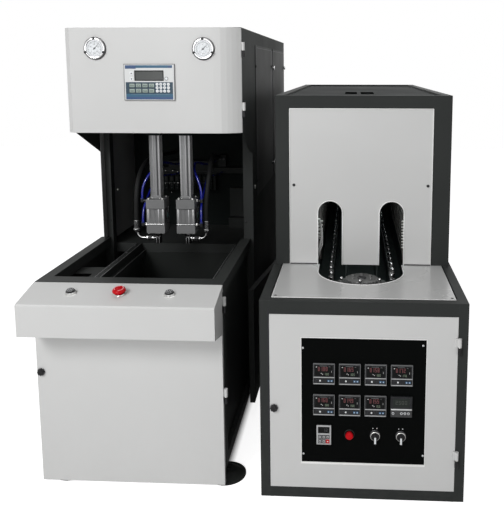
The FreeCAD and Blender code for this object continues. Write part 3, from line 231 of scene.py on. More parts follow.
# powder coats
material("paint_light", (0.615, 0.617, 0.612), 0.38, grain=420, bump=0.05, edge_wear_and_highlight=(0.85, 0.85, 0.84), edge_wear_and_highlight_amount=0.75,
         dust=0.03, drift=0.035, coat=0.10, spec=0.35)
material("paint_table", (0.55, 0.552, 0.548), 0.27, grain=420, bump=0.04, edge_wear_and_highlight=(0.9, 0.9, 0.89), edge_wear_and_highlight_amount=0.8,
         dust=0.03, drift=0.04, coat=0.25, spec=0.4)
material("paint_dark", (0.020, 0.022, 0.021), 0.52, grain=900, bump=0.22, edge_wear_and_highlight=(0.07, 0.07, 0.075), dust=0.012,
         drift=0.16, spec=0.12)
material("paint_frame", (0.035, 0.0375, 0.0365), 0.5, grain=800, bump=0.16, edge_wear_and_highlight=(0.10, 0.105, 0.11), edge_wear_and_highlight_amount=0.6,
         dust=0.012, drift=0.14, spec=0.10)
material("paint_side", (0.032, 0.036, 0.034), 0.55, grain=900, bump=0.20, edge_wear_and_highlight=(0.09, 0.09, 0.095), dust=0.012,
         drift=0.16, spec=0.06)
material("paint_cover", (0.036, 0.038, 0.037), 0.5, grain=900, bump=0.10, edge_wear_and_highlight=(0.12, 0.12, 0.125), edge_wear_and_highlight_amount=0.6,
         dust=0.015, drift=0.18, spec=0.10)
material("paint_inner", (0.008, 0.0105, 0.010), 0.6, grain=700, bump=0.15, dust=0.006, drift=0.2, spec=0.06,
         edge_wear_and_highlight_amount=0.3)
# light grey standing in for the light on the bay's dark inner left wall: painted light
material("paint_bay", (0.34, 0.345, 0.34), 0.5, grain=700, bump=0.12, dust=0.02, drift=0.25, spec=0.3)
material("oven_inside", (0.045, 0.055, 0.054), 0.5, grain=700, bump=0.15, dust=0.02, drift=0.2, spec=0.3)
material("sheet_black", (0.0022, 0.0026, 0.0025), 0.65, grain=300, bump=0.03, dust=0.001, edge_wear_and_highlight_amount=0.15, spec=0.03)
material("trim_white", (0.88, 0.88, 0.87), 0.35, grain=420, bump=0.03, edge_wear_and_highlight_amount=0.2, dust=0.01, drift=0.02)
material("motor_green", (0.06, 0.12, 0.10), 0.4, bump=0.2)
# metals
material("chain_steel", (0.24, 0.243, 0.24), 0.45, 0.5, bump=0.2, edge_wear_and_highlight=(0.5, 0.5, 0.5), edge_wear_and_highlight_amount=0.7, dust=0.02,
         fine_mix=0.5)
material("alu_profile", (0.20, 0.202, 0.205), 0.42, 0.7, grain=700, bump=0.05, streak=0.03, edge_wear_and_highlight=(0.45, 0.45, 0.46),
         edge_wear_and_highlight_amount=0.8, dust=0.02, drift=0.08, fine_mix=0.3)
material("alu_cast", (0.17, 0.172, 0.174), 0.6, 0.4, grain=1200, bump=0.3, edge_wear_and_highlight=(0.4, 0.4, 0.41), edge_wear_and_highlight_amount=0.8,
         dust=0.02)
# bright and dark aluminium; on the cylinders they make painted highlight and painted shade strips
material("alu_bright", (0.40, 0.40, 0.405), 0.35, 0.7, grain=900, bump=0.04, dust=0.0)
material("alu_dark", (0.055, 0.055, 0.058), 0.5, 0.5, grain=900, bump=0.04, dust=0.0)
material("steel", (0.50, 0.50, 0.50), 0.3, 1.0, grain=600, bump=0.05, dust=0.05, drift=0.12)
material("steel_bright", (0.42, 0.42, 0.42), 0.2, 1.0, grain=400, bump=0.03, dust=0.02)
material("steel_dark", (0.06, 0.061, 0.063), 0.42, 0.5, bump=0.12, edge_wear_and_highlight=(0.25, 0.25, 0.26), edge_wear_and_highlight_amount=0.7, dust=0.02,
         spec=0.3)
material("zinc", (0.68, 0.68, 0.66), 0.28, 0.9, grain=300, bump=0.12, dust=0.03)
material("chrome", (0.86, 0.86, 0.87), 0.08, 1.0, grain=200, edge_wear_and_highlight_amount=0.2, **CLEAN)
# chrome coloured dark where it mirrors dark surroundings: painted reflection
material("chrome_dark", (0.10, 0.10, 0.105), 0.16, 1.0, grain=200, bump=0.02, dust=0.0, edge_wear_and_highlight=(0.6, 0.6, 0.6),
         edge_wear_and_highlight_amount=0.8)
# plastics and rubber
material("black_plastic", (0.010, 0.010, 0.011), 0.42, grain=1500, bump=0.12, edge_wear_and_highlight=(0.05, 0.05, 0.05), dust=0.01, spec=0.35)
material("bezel", (0.020, 0.021, 0.023), 0.4, grain=900, bump=0.06, edge_wear_and_highlight=(0.12, 0.12, 0.13), edge_wear_and_highlight_amount=0.9,
         dust=0.005, spec=0.25)
material("bezel_line", (0.22, 0.225, 0.23), 0.4, grain=900, bump=0.05, dust=0.01, spec=0.3)
material("grey_plastic", (0.075, 0.078, 0.082), 0.45, grain=1200, bump=0.1, dust=0.01, spec=0.35)
material("pad_grey", (0.46, 0.465, 0.47), 0.4, grain=1200, bump=0.05, dust=0.01, spec=0.4)
material("timer_foot", (0.050, 0.051, 0.052), 0.45, grain=1200, bump=0.1, dust=0.01, spec=0.3)
material("red_plastic", (0.50, 0.003, 0.008), 0.25, grain=300, bump=0.02, edge_wear_and_highlight=(0.8, 0.06, 0.06), dust=0.0, coat=0.05,
         drift=0.05, spec=0.12)
# darker red for the groove ring of the emergency stop: painted shade
material("red_dark", (0.20, 0.004, 0.006), 0.4, grain=300, bump=0.02, dust=0.0, spec=0.3)
material("arrow_pink", (0.90, 0.36, 0.38), 0.35, edge_wear_and_highlight_amount=0.0, **CLEAN)
material("white_plastic", (0.66, 0.67, 0.67), 0.38, grain=600, bump=0.03, dust=0.02, drift=0.03)
material("key_white", (0.78, 0.80, 0.82), 0.35, drift=0.03, **KEY)
material("key_green", (0.27, 0.34, 0.31), 0.35, drift=0.06, **KEY)
material("membrane_blue", (0.028, 0.075, 0.19), 0.32, drift=0.22, **MEMBRANE)
material("membrane_dark", (0.014, 0.045, 0.075), 0.32, drift=0.15, **MEMBRANE)
material("membrane_teal", (0.022, 0.105, 0.19), 0.32, drift=0.15, **MEMBRANE)
material("ink", (0.02, 0.02, 0.024), 0.5, spec=0.3, **CLEAN)
material("tube_blue", (0.010, 0.018, 0.36), 0.22, grain=200, coat=0.4, transmission=0.25, **CLEAN)
material("tube_grip", (0.012, 0.02, 0.10), 0.4, grain=900, bump=0.05, dust=0.0)
material("hose", (0.011, 0.0115, 0.0115), 0.55, grain=1600, bump=0.45, dust=0.01, fine_mix=0.5, spec=0.14)
material("wire_white", (0.85, 0.85, 0.84), 0.5, grain=900, bump=0.1, dust=0.03)
material("teal_part", (0.02, 0.20, 0.18), 0.35, bump=0.05, dust=0.0)
# glass, ceramic and displays
material("screen_dark", (0.002, 0.0025, 0.0025), 0.2, edge_wear_and_highlight_amount=0.0, spec=0.2, **SCREEN)
material("lcd", (0.075, 0.08, 0.078), 0.22, drift=0.2, spec=0.4, **SCREEN)
material("lcd_dim", (0.020, 0.025, 0.022), 0.25, drift=0.2, spec=0.3, **SCREEN)
material("lcd_digit", (0.05, 0.058, 0.048), 0.4, **CLEAN)
material("led_red", (0.10, 0.035, 0.04), 0.4, emit=(1.0, 0.25, 0.25), emit_power=0.06, **CLEAN)
material("led_green", (0.16, 0.20, 0.15), 0.4, emit=(0.6, 0.8, 0.5), emit_power=0.05, **CLEAN)
material("led_white", (0.8, 0.8, 0.8), 0.4, emit=(1, 1, 1), emit_power=0.15, **CLEAN)
material("led_blue", (0.05, 0.16, 0.30), 0.4, emit=(0.10, 0.40, 0.9), emit_power=0.08, **CLEAN)
material("glass", (0.9, 0.93, 0.95), 0.05, edge_wear_and_highlight_amount=0.0, drift=0.0, alpha=0.10, **CLEAN)
material("dial", (0.80, 0.82, 0.84), 0.45, grain=600, bump=0.02, dust=0.0, drift=0.02)
material("lamp_glass", (0.20, 0.18, 0.17), 0.12, transmission=0.5, **CLEAN)
material("ceramic", (0.62, 0.61, 0.58), 0.5, bump=0.06, dust=0.05)
material("floor", (0.90, 0.90, 0.90), 0.7, grain=40, bump=0.01, edge_wear_and_highlight_amount=0.0, dust=0.0, drift=0.004, spec=0.1)

LOOK = {
    "paint_frame": "blower_frame heater_frame",
    "paint_side": "blower_left_panel blower_right_panel",
    "paint_cover": "right_side_covers",
    "paint_dark": "levelling_feet blower_rear_panel blower_roof_panel mould_pit_tray valve_manifold heater_side_panels "
                  "heater_rear_panel",
    "paint_inner": "head_floor_plate bay_back_panel heater_top_deck",
    "paint_light": "head_door front_door console_box heater_front_panel heater_door",
    "paint_table": "heater_table_panel",
    "sheet_black": "instrument_panel",
    "oven_inside": "oven_bed",
    "motor_green": "chain_motor",
    "zinc": "door_hinge_pins console_button_collars",
    "steel": "clamp_platen_front clamp_platen_rear sprocket_bearings",
    "steel_bright": "pressure_gauges blow_nozzle_left blow_nozzle_right",
    "ink": "gauge_needle_left gauge_needle_right",
    "chain_steel": "front_sprocket rear_sprocket spindle_chain",
    "alu_cast": "clamp_cylinders seal_cylinders",
    "alu_profile": "stretch_cylinders",
    "chrome": "stretch_rod_left stretch_rod_right",
    "hose": "pressure_hose_left pressure_hose_right",
    "tube_blue": "air_tube_left_upper air_tube_left_lower air_tube_right_upper air_tube_right_lower",
    "black_plastic": "front_door_latch start_button_left start_button_right air_fittings heater_door_latch "
                     "selector_left selector_right",
    "bezel": "temperature_controllers",
    "white_plastic": "machine_keypad",
    "red_plastic": "emergency_stop_button heating_button",
    "lamp_glass": "lamp_banks",
}
finish_of = {solid: finish for finish, solids in LOOK.items() for solid in solids.split()}
for name, solid in NODES.items():
    finish = MATS[finish_of.get(name, "steel")]
    if not solid.data.materials:
        solid.data.materials.append(finish)
    for place in solid.material_slots:
        place.material = finish

# ------------------------------------------------------------------ mesh helpers
PLAIN, MARK = "plain", "mark"    # the two finishes of a small piece that a tree repeats
QUARTER = math.pi / 2
UPWARD, FORWARD, RIGHTWARD, LEFTWARD = (0, 0, 0), (QUARTER, 0, 0), (0, QUARTER, 0), (0, -QUARTER, 0)


def own_mm(x, y, z):
    return Vector((x, y, z)) / 1000.0


class Build:
    """Collects solids, given in millimetres, in one mesh. It rides on a body; like, the subcomponent it is like, is not
    used;
    without a body it is a small piece about its own origin, for the trees."""

    def __init__(self, name, body=None, like=None):
        self.bm = bmesh.new()
        self.name, self.body, self.like = name, body, like
        self.at, self.mats = (P, []) if body else (own_mm, [PLAIN, MARK])

    def _mark(self, faces, m):
        if m not in self.mats:
            self.mats.append(m)
        for f in faces:
            f.material_index = self.mats.index(m)

    def box(self, x0, x1, y0, y1, z0, z1, m, bevel=0.0, rot=None):
        low = self.at(min(x0, x1), min(y0, y1), min(z0, z1))
        high = self.at(max(x0, x1), max(y0, y1), max(z0, z1))
        middle, size = (low + high) / 2, high - low
        verts = bmesh.ops.create_cube(self.bm, size=1.0)["verts"]
        for v in verts:
            v.co = Vector((v.co.x * size.x, v.co.y * size.y, v.co.z * size.z))
        self._mark({f for v in verts for f in v.link_faces}, m)
        if bevel:
            edges = list({e for v in verts for e in v.link_edges})
            out = bmesh.ops.bevel(self.bm, geom=edges, offset=min(bevel / 1000.0, min(size) * 0.45), segments=2,
                                  affect="EDGES", profile=0.6)
            self._mark(out["faces"], m)
            verts = {v for f in out["faces"] for v in f.verts} | {v for v in verts if v.is_valid}
        for v in verts:
            v.co = (rot @ v.co if rot else v.co) + middle

    def boxes(self, x, z, *rows):
        """Boxes about x and z; each row is x0, x1, y0, y1, z0, z1, the finish and, if it has one, the bevel."""
        for x0, x1, y0, y1, z0, z1, *rest in rows:
            self.box(x + x0, x + x1, y0, y1, z + z0, z + z1, *rest)

    def border(self, x0, x1, z0, z1, w, y0, y1, m, bevel=0.0):
        """Four bars of width w along the inside of a rectangle."""
        self.boxes(0, 0, (x0, x1, y0, y1, z1 - w, z1, m, bevel), (x0, x1, y0, y1, z0, z0 + w, m, bevel),
                   (x0, x0 + w, y0, y1, z0 + w, z1 - w, m, bevel), (x1 - w, x1, y0, y1, z0 + w, z1 - w, m, bevel))

    def turn(self, base, axis, profile, m=None, seg=32, mats=None):
        """Half profile of (radius, height) turned about an axis through base; mats gives each band its own finish."""
        q = Vector(axis).normalized().to_track_quat("Z", "Y")
        rings = []
        for r, h in profile:
            r, h = r / 1000.0, h / 1000.0
            angles = [2 * math.pi * i / seg for i in range(seg)] if r else [0.0]
            rings.append([self.bm.verts.new(base + q @ Vector((r * math.cos(a), r * math.sin(a), h))) for a in angles])
        for k, (a, b) in enumerate(zip(rings, rings[1:])):
            for i in range(seg):
                j = (i + 1) % seg
                if len(a) == 1:
                    corners = [a[0], b[i], b[j]]
                elif len(b) == 1:
                    corners = [a[i], a[j], b[0]]
                else:
                    corners = [a[i], a[j], b[j], b[i]]
                self._mark([self.bm.faces.new(corners)], mats[k] if mats else m)

    def rod(self, a, b, r, m, seg=24, cap=0.4):
        """Cylinder between two points with a small chamfer."""
        a, b = self.at(*a), self.at(*b)
        h = (b - a).length * 1000.0
        c = min(cap, r * 0.4, h * 0.3)
        self.turn(a, b - a, [(0, 0), (r - c, 0), (r, c), (r, h - c), (r - c, h), (0, h)], m, seg)

    def nut(self, a, b, r, m):
        self.rod(a, b, r, m, seg=6, cap=0.6)

    def edge_highlight_bead(self, r, *points):
        """Thin white rod along a line, a painted highlight on an edge."""
        for a, b in zip(points, points[1:]):
            self.rod(a, b, r, "trim_white", 8, 0.05)

    def tube(self, pts, r, m, seg=12):
        """Round bar along a smoothed line through the points."""
        line = [self.at(*p) for p in pts]
        for _ in range(3):
            cut = [q for a, b in zip(line, line[1:]) for q in (a.lerp(b, 0.25), a.lerp(b, 0.75))]
            line = [line[0]] + cut + [line[-1]]
        last = len(line) - 1
        heading = [(line[min(i + 1, last)] - line[max(i - 1, 0)]).normalized() for i in range(last + 1)]
        angles = [2 * math.pi * k / seg for k in range(seg)]
        n = heading[0].orthogonal().normalized()
        rings = []
        for c, t in zip(line, heading):
            n = (n - t * n.dot(t)).normalized()
            o = t.cross(n)
            rings.append([self.bm.verts.new(c + (n * math.cos(a) + o * math.sin(a)) * (r / 1000.0)) for a in angles])
        for a, b in zip(rings, rings[1:]):
            for k in range(seg):
                j = (k + 1) % seg
                self._mark([self.bm.faces.new([a[k], a[j], b[j], b[k]])], m)
        self._mark([self.bm.faces.new(list(reversed(rings[0]))), self.bm.faces.new(rings[-1])], m)

    def plate(self, loop, y0, y1, m):
        """Outline in X and Z raised along Y."""
        a, b = ([self.bm.verts.new(self.at(x, y, z)) for x, z in loop] for y in (y0, y1))
        n = len(loop)
        faces = [self.bm.faces.new(a), self.bm.faces.new(list(reversed(b)))]
        faces += [self.bm.faces.new([a[i], b[i], b[(i + 1) % n], a[(i + 1) % n]]) for i in range(n)]
        self._mark(faces, m)

    def done(self, smooth=35):
        bmesh.ops.recalc_face_normals(self.bm, faces=self.bm.faces[:])
        me = bpy.data.meshes.new(self.name)
        self.bm.to_mesh(me)
        self.bm.free()
        me.shade_smooth()
        me.set_sharp_from_angle(angle=math.radians(smooth))
        o = bpy.data.objects.new(self.name, me)
        if self.body:
            for m in self.mats:
                me.materials.append(MATS[m])
            bpy.context.collection.objects.link(o)
            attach(o, self.body)
        else:
            # keeps which of the two finishes a face takes, for the trees
            numbers = [f.material_index for f in me.polygons]
            me.polygons.foreach_set("material_index", [0] * len(numbers))
            me.attributes.new("part", "INT", "FACE").data.foreach_set("value", numbers)
        return o


# ------------------------------------------------------------------ trees that repeat small pieces
def blank(name, *sizes):
    """An empty tree with the element, its two finishes and the named sizes."""
    t = bpy.data.node_groups.new(name, "GeometryNodeTree")
    for way in ("INPUT", "OUTPUT"):
        t.interface.new_socket(name="Geometry", in_out=way, socket_type="NodeSocketGeometry")
    for label, kind in (("Element", "Object"), ("Finish", "Material"), ("Mark", "Material")) + sizes:
        t.interface.new_socket(name=label, in_out="INPUT", socket_type="NodeSocket" + kind)
    return t, add_node(t, "NodeGroupInput").outputs, add_node(t, "NodeGroupOutput").inputs


def close(t, given, result, points, rotation):
    """Sets the element on the points, makes it real and gives its two finishes by the element's own face numbers."""
    info, put = add_node(t, "GeometryNodeObjectInfo"), add_node(t, "GeometryNodeInstanceOnPoints")
    real = add_node(t, "GeometryNodeRealizeInstances")
    number = add_node(t, "GeometryNodeInputNamedAttribute", Name="part")
    number.data_type = "INT"
    wire(t, given["Element"], info.inputs["Object"], points, put.inputs["Points"], rotation, put.inputs["Rotation"],
         info.outputs["Geometry"], put.inputs["Instance"], put.outputs[0], real.inputs[0])
    last = real.outputs[0]
    for k, label in enumerate(("Finish", "Mark")):
        same = add_node(t, "FunctionNodeCompare")
        same.data_type, same.operation = "INT", "EQUAL"
        read, wanted = [i for i in same.inputs if i.name in ("A", "B") and i.enabled]
        wanted.default_value = k
        paint = add_node(t, "GeometryNodeSetMaterial")
        wire(t, number.outputs[0], read, same.outputs[0], paint.inputs["Selection"],
             given[label], paint.inputs["Material"], last, paint.inputs["Geometry"])
        last = paint.outputs[0]
    wire(t, last, result[0])
    return t


def tree_places():
    """The element stands on every point of the mesh, turned by Turn."""
    t, given, result = blank("set_on_places", ("Turn", "Vector"))
    return close(t, given, result, given["Geometry"], given["Turn"])


def tree_row():
    """Count elements in a row from Start, Step apart."""
    t, given, result = blank("set_in_row", ("Count", "Int"), ("Start", "Vector"), ("Step", "Vector"), ("Turn", "Vector"))
    line = add_node(t, "GeometryNodeMeshLine")
    wire(t, given["Count"], line.inputs["Count"], given["Start"], line.inputs["Start Location"],
         given["Step"], line.inputs["Offset"])
    return close(t, given, result, line.outputs[0], given["Turn"])


def tree_ring():
    """Count elements on an arc of Radius about Centre, from angle First, Apart radians from each other."""
    t, given, result = blank("set_on_ring", ("Count", "Int"), ("Radius", "Float"), ("First", "Float"),
                             ("Apart", "Float"), ("Centre", "Vector"), ("Face", "Vector"))
    line, index = add_node(t, "GeometryNodeMeshLine"), add_node(t, "GeometryNodeInputIndex")
    angle = add_node(t, "ShaderNodeMath", "MULTIPLY_ADD")
    wire(t, given["Count"], line.inputs["Count"], index.outputs[0], angle.inputs[0],
         given["Apart"], angle.inputs[1], given["First"], angle.inputs[2])
    spot, about = (add_node(t, "ShaderNodeCombineXYZ") for _ in range(2))
    for k, operation in enumerate(("COSINE", "SINE")):
        part, far = add_node(t, "ShaderNodeMath", operation), add_node(t, "ShaderNodeMath", "MULTIPLY")
        wire(t, angle.outputs[0], part.inputs[0], part.outputs[0], far.inputs[0],
             given["Radius"], far.inputs[1], far.outputs[0], spot.inputs[k])
    move, place = add_node(t, "GeometryNodeSetPosition"), add_node(t, "GeometryNodeTransform")
    face, own = (add_node(t, "FunctionNodeEulerToRotation") for _ in range(2))
    both = add_node(t, "FunctionNodeRotateRotation")
    both.rotation_space = "LOCAL"
    wire(t, line.outputs[0], move.inputs["Geometry"], spot.outputs[0], move.inputs["Position"],
         angle.outputs[0], about.inputs[2], given["Face"], face.inputs[0], about.outputs[0], own.inputs[0],
         face.outputs[0], both.inputs[0], own.outputs[0], both.inputs[1], move.outputs[0], place.inputs["Geometry"],
         given["Centre"], place.inputs["Translation"], given["Face"], place.inputs["Rotation"])
    return close(t, given, result, place.outputs[0], both.outputs[0])


PLACES, ROW, RING = tree_places(), tree_row(), tree_ring()


def spread(name, body, like, tree, piece, finish, mark=None, places=(), **sizes):
    """Repeats a small piece by a tree, as one plain mesh on one body."""
    me = bpy.data.meshes.new(name)
    me.from_pydata([tuple(p) for p in places], [], [])
    o = bpy.data.objects.new(name, me)
    bpy.context.collection.objects.link(o)
    bpy.context.collection.objects.link(piece)
    mod = o.modifiers.new("repeat", "NODES")
    mod.node_group = tree
    ids = {s.name: s.identifier for s in tree.interface.items_tree if s.in_out == "INPUT"}
    values = {"Element": piece, "Finish": MATS[finish], "Mark": MATS[mark or finish]}
    values.update({k.capitalize(): v for k, v in sizes.items()})
    for k, v in values.items():
        mod[ids[k]] = v
    o.update_tag()
    bpy.context.view_layer.update()
    mesh = bpy.data.meshes.new_from_object(o.evaluated_get(bpy.context.evaluated_depsgraph_get()))
    mesh.name = name
    o.modifiers.clear()
    o.data = mesh
    bpy.data.meshes.remove(me)
    own = sorted({f.material_index for f in mesh.polygons})
    finishes = [mesh.materials[i] for i in own]
    numbers = [own.index(f.material_index) for f in mesh.polygons]
    mesh.materials.clear()
    for m in finishes:
        mesh.materials.append(m)
    mesh.polygons.foreach_set("material_index", numbers)
    mesh.attributes.remove(mesh.attributes["part"])
    mesh.shade_smooth()
    mesh.set_sharp_from_angle(angle=math.radians(35))
    bpy.context.collection.objects.unlink(piece)
    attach(o, body)


def on_places(name, like, piece, finish, mark, turn, points, body="cabinets"):
    """A piece on each point, in millimetres."""
    spread(name, body, like, PLACES, piece, finish, mark, places=[P(*p) for p in points], turn=turn)


def in_row(name, like, piece, finish, mark, turn, count, start, step, body="cabinets"):
    """Pieces in a row; start and step in millimetres."""
    spread(name, body, like, ROW, piece, finish, mark, count=count, start=P(*start),
           step=tuple(v / 1000.0 for v in step), turn=turn)


def on_ring(name, body, like, piece, finish, count, radius, first, apart, centre, face):
    """Pieces on an arc; radius in millimetres, angles in degrees."""
    spread(name, body, like, RING, piece, finish, count=count, radius=radius / 1000.0, first=math.radians(first),
           apart=math.radians(apart), centre=centre, face=face)


def element(name, *turns):
    """A small turned piece, standing up; each turn is its finish, its segments and its profile."""
    b = Build(name)
    for m, seg, profile in turns:
        b.turn(Vector((0, 0, 0)), UP, profile, m, seg)
    return b.done()


def block(name, *rows):
    """A small piece made of boxes."""
    b = Build(name)
    b.boxes(0, 0, *rows)
    return b.done()


def pan_head(r, h):
    return element("pan_head", (PLAIN, 20, [(r, 0), (r, h * 0.4), (r * 0.8, h * 0.82), (r * 0.42, h), (0, h)]),
                   (MARK, 6, [(r * 0.42, h), (r * 0.34, h * 1.04), (0, h * 1.04)]))


def cap_head(r, h):
    """Socket head screw."""
    return element("cap_head", (PLAIN, 24, [(r, 0), (r, h * 0.85), (r * 0.86, h), (r * 0.58, h), (r * 0.58, h * 0.5)]),
                   (MARK, 24, [(r * 0.58, h * 0.5), (0, h * 0.5)]))


def hex_head(r, h):
    return element("hex_head", (PLAIN, 6, [(r * 0.98, 0), (r, h * 0.15), (r, h * 0.85), (r * 0.9, h), (0, h)]))


# ------------------------------------------------------------------ hoses and air tubes
def cord(solid, points, diameter, finish):
    """A hose or tube on the route of its solid, from its fitting to where it goes into the back of the bay."""
    curve = bpy.data.curves.new(solid + "_line", "CURVE")
    curve.dimensions = "3D"
    spline = curve.splines.new("NURBS")
    spline.points.add(len(points) - 1)
    for p, place in zip(spline.points, points):
        p.co = (*P(*place), 1.0)
    spline.order_u = 3
    spline.use_endpoint_u = True
    curve.resolution_u = 10
    curve.bevel_depth = diameter / 2000.0
    curve.bevel_resolution = 5
    curve.use_fill_caps = True
    curve.materials.append(MATS[finish])
    o = bpy.data.objects.new(solid + "_line", curve)
    bpy.context.collection.objects.link(o)
    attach(o, "cabinets")
    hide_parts(solid)


def route(x, y, z, side, *steps):
    """Points from a fitting onwards; side turns the steps in X round for the left-hand tubes."""
    return [(x, y, z)] + [(x + side * dx, y + dy, z + dz) for dx, dy, dz in steps]


HOSE, AIR = 19.0, 9.0            # outside diameters
UNIT_Y = 457.0                   # axis of the blowing units
BAY = 1040.0 - UNIT_Y            # from that axis to the back of the bay
for s, x, length, steps in (
        ("left", -106.0, 0.755, [(0, 0, 80), (1, 8, 150), (3, 42, 208), (6, 104, 244), (10, 190, 258), (12, 300, 256),
                                 (11, 420, 244), (9, BAY - 12, 234)]),
        ("right", 176.5, 0.744, [(0, 0, 82), (5, 6, 152), (9, 30, 212), (7, 78, 252), (-3, 150, 270), (-18, 240, 266),
                                 (-34, 335, 246), (-47, 430, 226), (-54, BAY - 48, 216)])):
    cord("pressure_hose_" + s, route(x, UNIT_Y, 816.0, 1, *steps), HOSE, "hose")
for s, o, x_upper, x_lower in (("left", -1, -81.0, -75.0), ("right", 1, 159.0, 160.0)):
    upper = route(x_upper, UNIT_Y, 935.3, o, (0, 0, 32), (-12, 6, 70), (-32, 26, 104), (-44, 74, 124), (-50, 140, 126),
                  (-50, 220, 112), (-48, 305, 94), (-46, 400, 82), (-46, BAY - 50, 78))
    cord("air_tube_%s_upper" % s, upper, AIR, "tube_blue")
    lower = route(x_lower, UNIT_Y - 18, 842.3, o, (0, 0, 34), (-3, 18, 66), (-5, 58, 94), (-7, 106, 122), (-10, 164, 144),
                  (-14, 236, 150), (-18, 318, 140), (-20, 412, 126), (-20, BAY + 18 - 50, 118))
    cord("air_tube_%s_lower" % s, lower, AIR, "tube_blue")

# ------------------------------------------------------------------ figures made of bars
BARS = {"0": "abcdef", "1": "bc", "2": "abged", "3": "abgcd", "4": "fgbc", "5": "afgcd", "6": "afgedc", "7": "abc",
        "8": "abcdefg", "9": "abcdfg"}


def digits(b, text, x, y, z, h, m, wide=0.55):
    """Plain figures of height h, left end x, lower edge z, facing the front."""
    w, t, thick = h * wide, h * 0.13, 0.3
    bars = {"a": (0, w, h - t, h), "d": (0, w, 0, t), "g": (0, w, h / 2 - t / 2, h / 2 + t / 2),
            "b": (w - t, w, h / 2, h), "c": (w - t, w, 0, h / 2), "f": (0, t, h / 2, h), "e": (0, t, 0, h / 2)}
    for figure in text:
        for k in BARS[figure]:
            x0, x1, z0, z1 = bars[k]
            b.box(x + x0, x + x1, y - thick, y, z + z0, z + z1, m)
        x += w * 1.42


# ------------------------------------------------------------------ pressure gauges
SCALE_START, SCALE_SWEEP = 225, 270      # degrees
for gx, gz, s, unit in ((-202, 1524, "left", 15), (206, 1522, "right", 1)):
    b = Build("gauge_dial_" + s, "head_door", "pressure_gauges")
    face = P(gx, 333.95, gz)
    b.turn(face, FRONT, [(31.7, 0), (31.7, 0.3), (0, 0.3)], "dial", 48)
    b.turn(face, FRONT, [(25.6, 0.3), (25.6, 0.45), (24.9, 0.45), (24.9, 0.3)], "ink", 48)
    for k in range(5):
        a = math.radians(SCALE_START - SCALE_SWEEP * k / 4)
        n, h = str(k * unit), 4.6
        digits(b, n, gx + 15.6 * math.cos(a) - h * 0.39 * len(n), 333.65, gz + 15.6 * math.sin(a) - h / 2, h, "ink")
    b.boxes(gx, gz, (-6, 6, 333.45, 333.65, -16.5, -15.7, "ink"), (-4, 4, 333.45, 333.65, -19, -18.3, "ink"))
    # the bezel's bands in bright chrome, darkened chrome and bright steel: painted reflections
    b.turn(P(gx, 340, gz), FRONT, [(32.4, 6.1), (32.8, 9.4), (34.4, 10.1), (36.8, 9.9), (39.8, 7.6), (41.9, 4.6),
                                   (42.4, 2.2), (42.4, 0.1)], seg=64,
           mats=["chrome_dark", "chrome", "chrome", "steel_bright", "chrome_dark", "chrome_dark", "chrome_dark"])
    for deg in (92, -22, 202):
        a = math.radians(deg)
        cx, cz = gx + 37.6 * math.cos(a), gz + 37.6 * math.sin(a)
        b.box(cx - 4.2, cx + 4.2, 329.3, 339.6, cz - 4.4, cz + 4.4, "black_plastic", 1.0,
              rot=Matrix.Rotation(math.pi / 2 - a, 3, "Y"))
    b.done()
    b = Build("gauge_glass_" + s, "head_door", "pressure_gauges")
    b.turn(P(gx, 331.4, gz), FRONT, [(0, 0), (32.3, 0), (32.3, 0.9), (0, 0.9)], "glass", 48)
    b.done()
    for kind, count, r0, r1, w in (("big", 9, 20.6, 25.2, 1.0), ("fine", 41, 23.0, 25.2, 0.42)):
        tick = block("tick", (-(r1 - r0) / 2, (r1 - r0) / 2, -w / 2, w / 2, 0, 0.25, PLAIN))
        on_ring("gauge_%s_marks_%s" % (kind, s), "head_door", "pressure_gauges", tick, "ink", count, (r0 + r1) / 2,
                SCALE_START - SCALE_SWEEP, SCALE_SWEEP / (count - 1), P(gx, 333.7, gz), FORWARD)

# ------------------------------------------------------------------ membrane keypad
KEYPAD_Z = 1399.0
b = Build("keypad_overlay", "head_door", "machine_keypad")
b.border(-95.5, 96.5, KEYPAD_Z - 68, KEYPAD_Z + 68, 2.6, 333.9, 339.8, "alu_profile", 0.5)
b.boxes(0, KEYPAD_Z,
        (-93, -54.5, 334.6, 335.9, -66, 66, "white_plastic"), (54.5, 94, 334.6, 335.9, -66, 66, "white_plastic"),
        (-54.5, 54.5, 334.6, 335.9, 41, 66, "white_plastic"), (-54.5, 54.5, 334.6, 335.9, -66, 8, "white_plastic"),
        (-89, 89.5, 334.35, 334.65, -43, 0.5, "membrane_dark"), (-89, 89.5, 334.35, 334.65, -54, -43, "membrane_teal"),
        (-89, 89.5, 334.35, 334.65, -64, -54, "membrane_blue"), (-90, -49, 334.35, 334.65, 50, 63, "membrane_blue"),
        (-49, 88, 334.4, 334.65, 53, 63, "membrane_teal"), (72, 87, 334.2, 334.45, 54.5, 61, "membrane_blue"))
b.border(-55.5, 55.5, KEYPAD_Z + 5.2, KEYPAD_Z + 44, 3.4, 334.1, 336.2, "screen_dark", 0.4)
b.boxes(0, KEYPAD_Z, (-52.5, 52.5, 336.0, 336.4, 8, 41, "lcd"))
for z, way in ((KEYPAD_Z + 33.5, 1), (KEYPAD_Z + 12, -1)):
    x = -66.5
    b.boxes(x, z, (-6, 6, 334.0, 334.65, -6, 6, "key_white", 0.5))
    b.plate([(x - 3.2, z - 2.4 * way), (x + 3.2, z - 2.4 * way), (x, z + 3.0 * way)], 333.85, 334.1, "ink")
b.turn(P(65.5, 334.6, KEYPAD_Z + 13.5), FRONT, [(7, 0), (7, 0.5), (6, 0.9), (5.2, 0.9), (5.2, 0.6), (0, 0.6)], seg=28,
       mats=["grey_plastic"] * 3 + ["key_white"] * 2)
KEY_MARKS = (((7, 2), (5, 4), (8, 1.4), (4, 4)), ((6, 2), (3, 5), (7, 3), (5, 2)))      # widths and heights
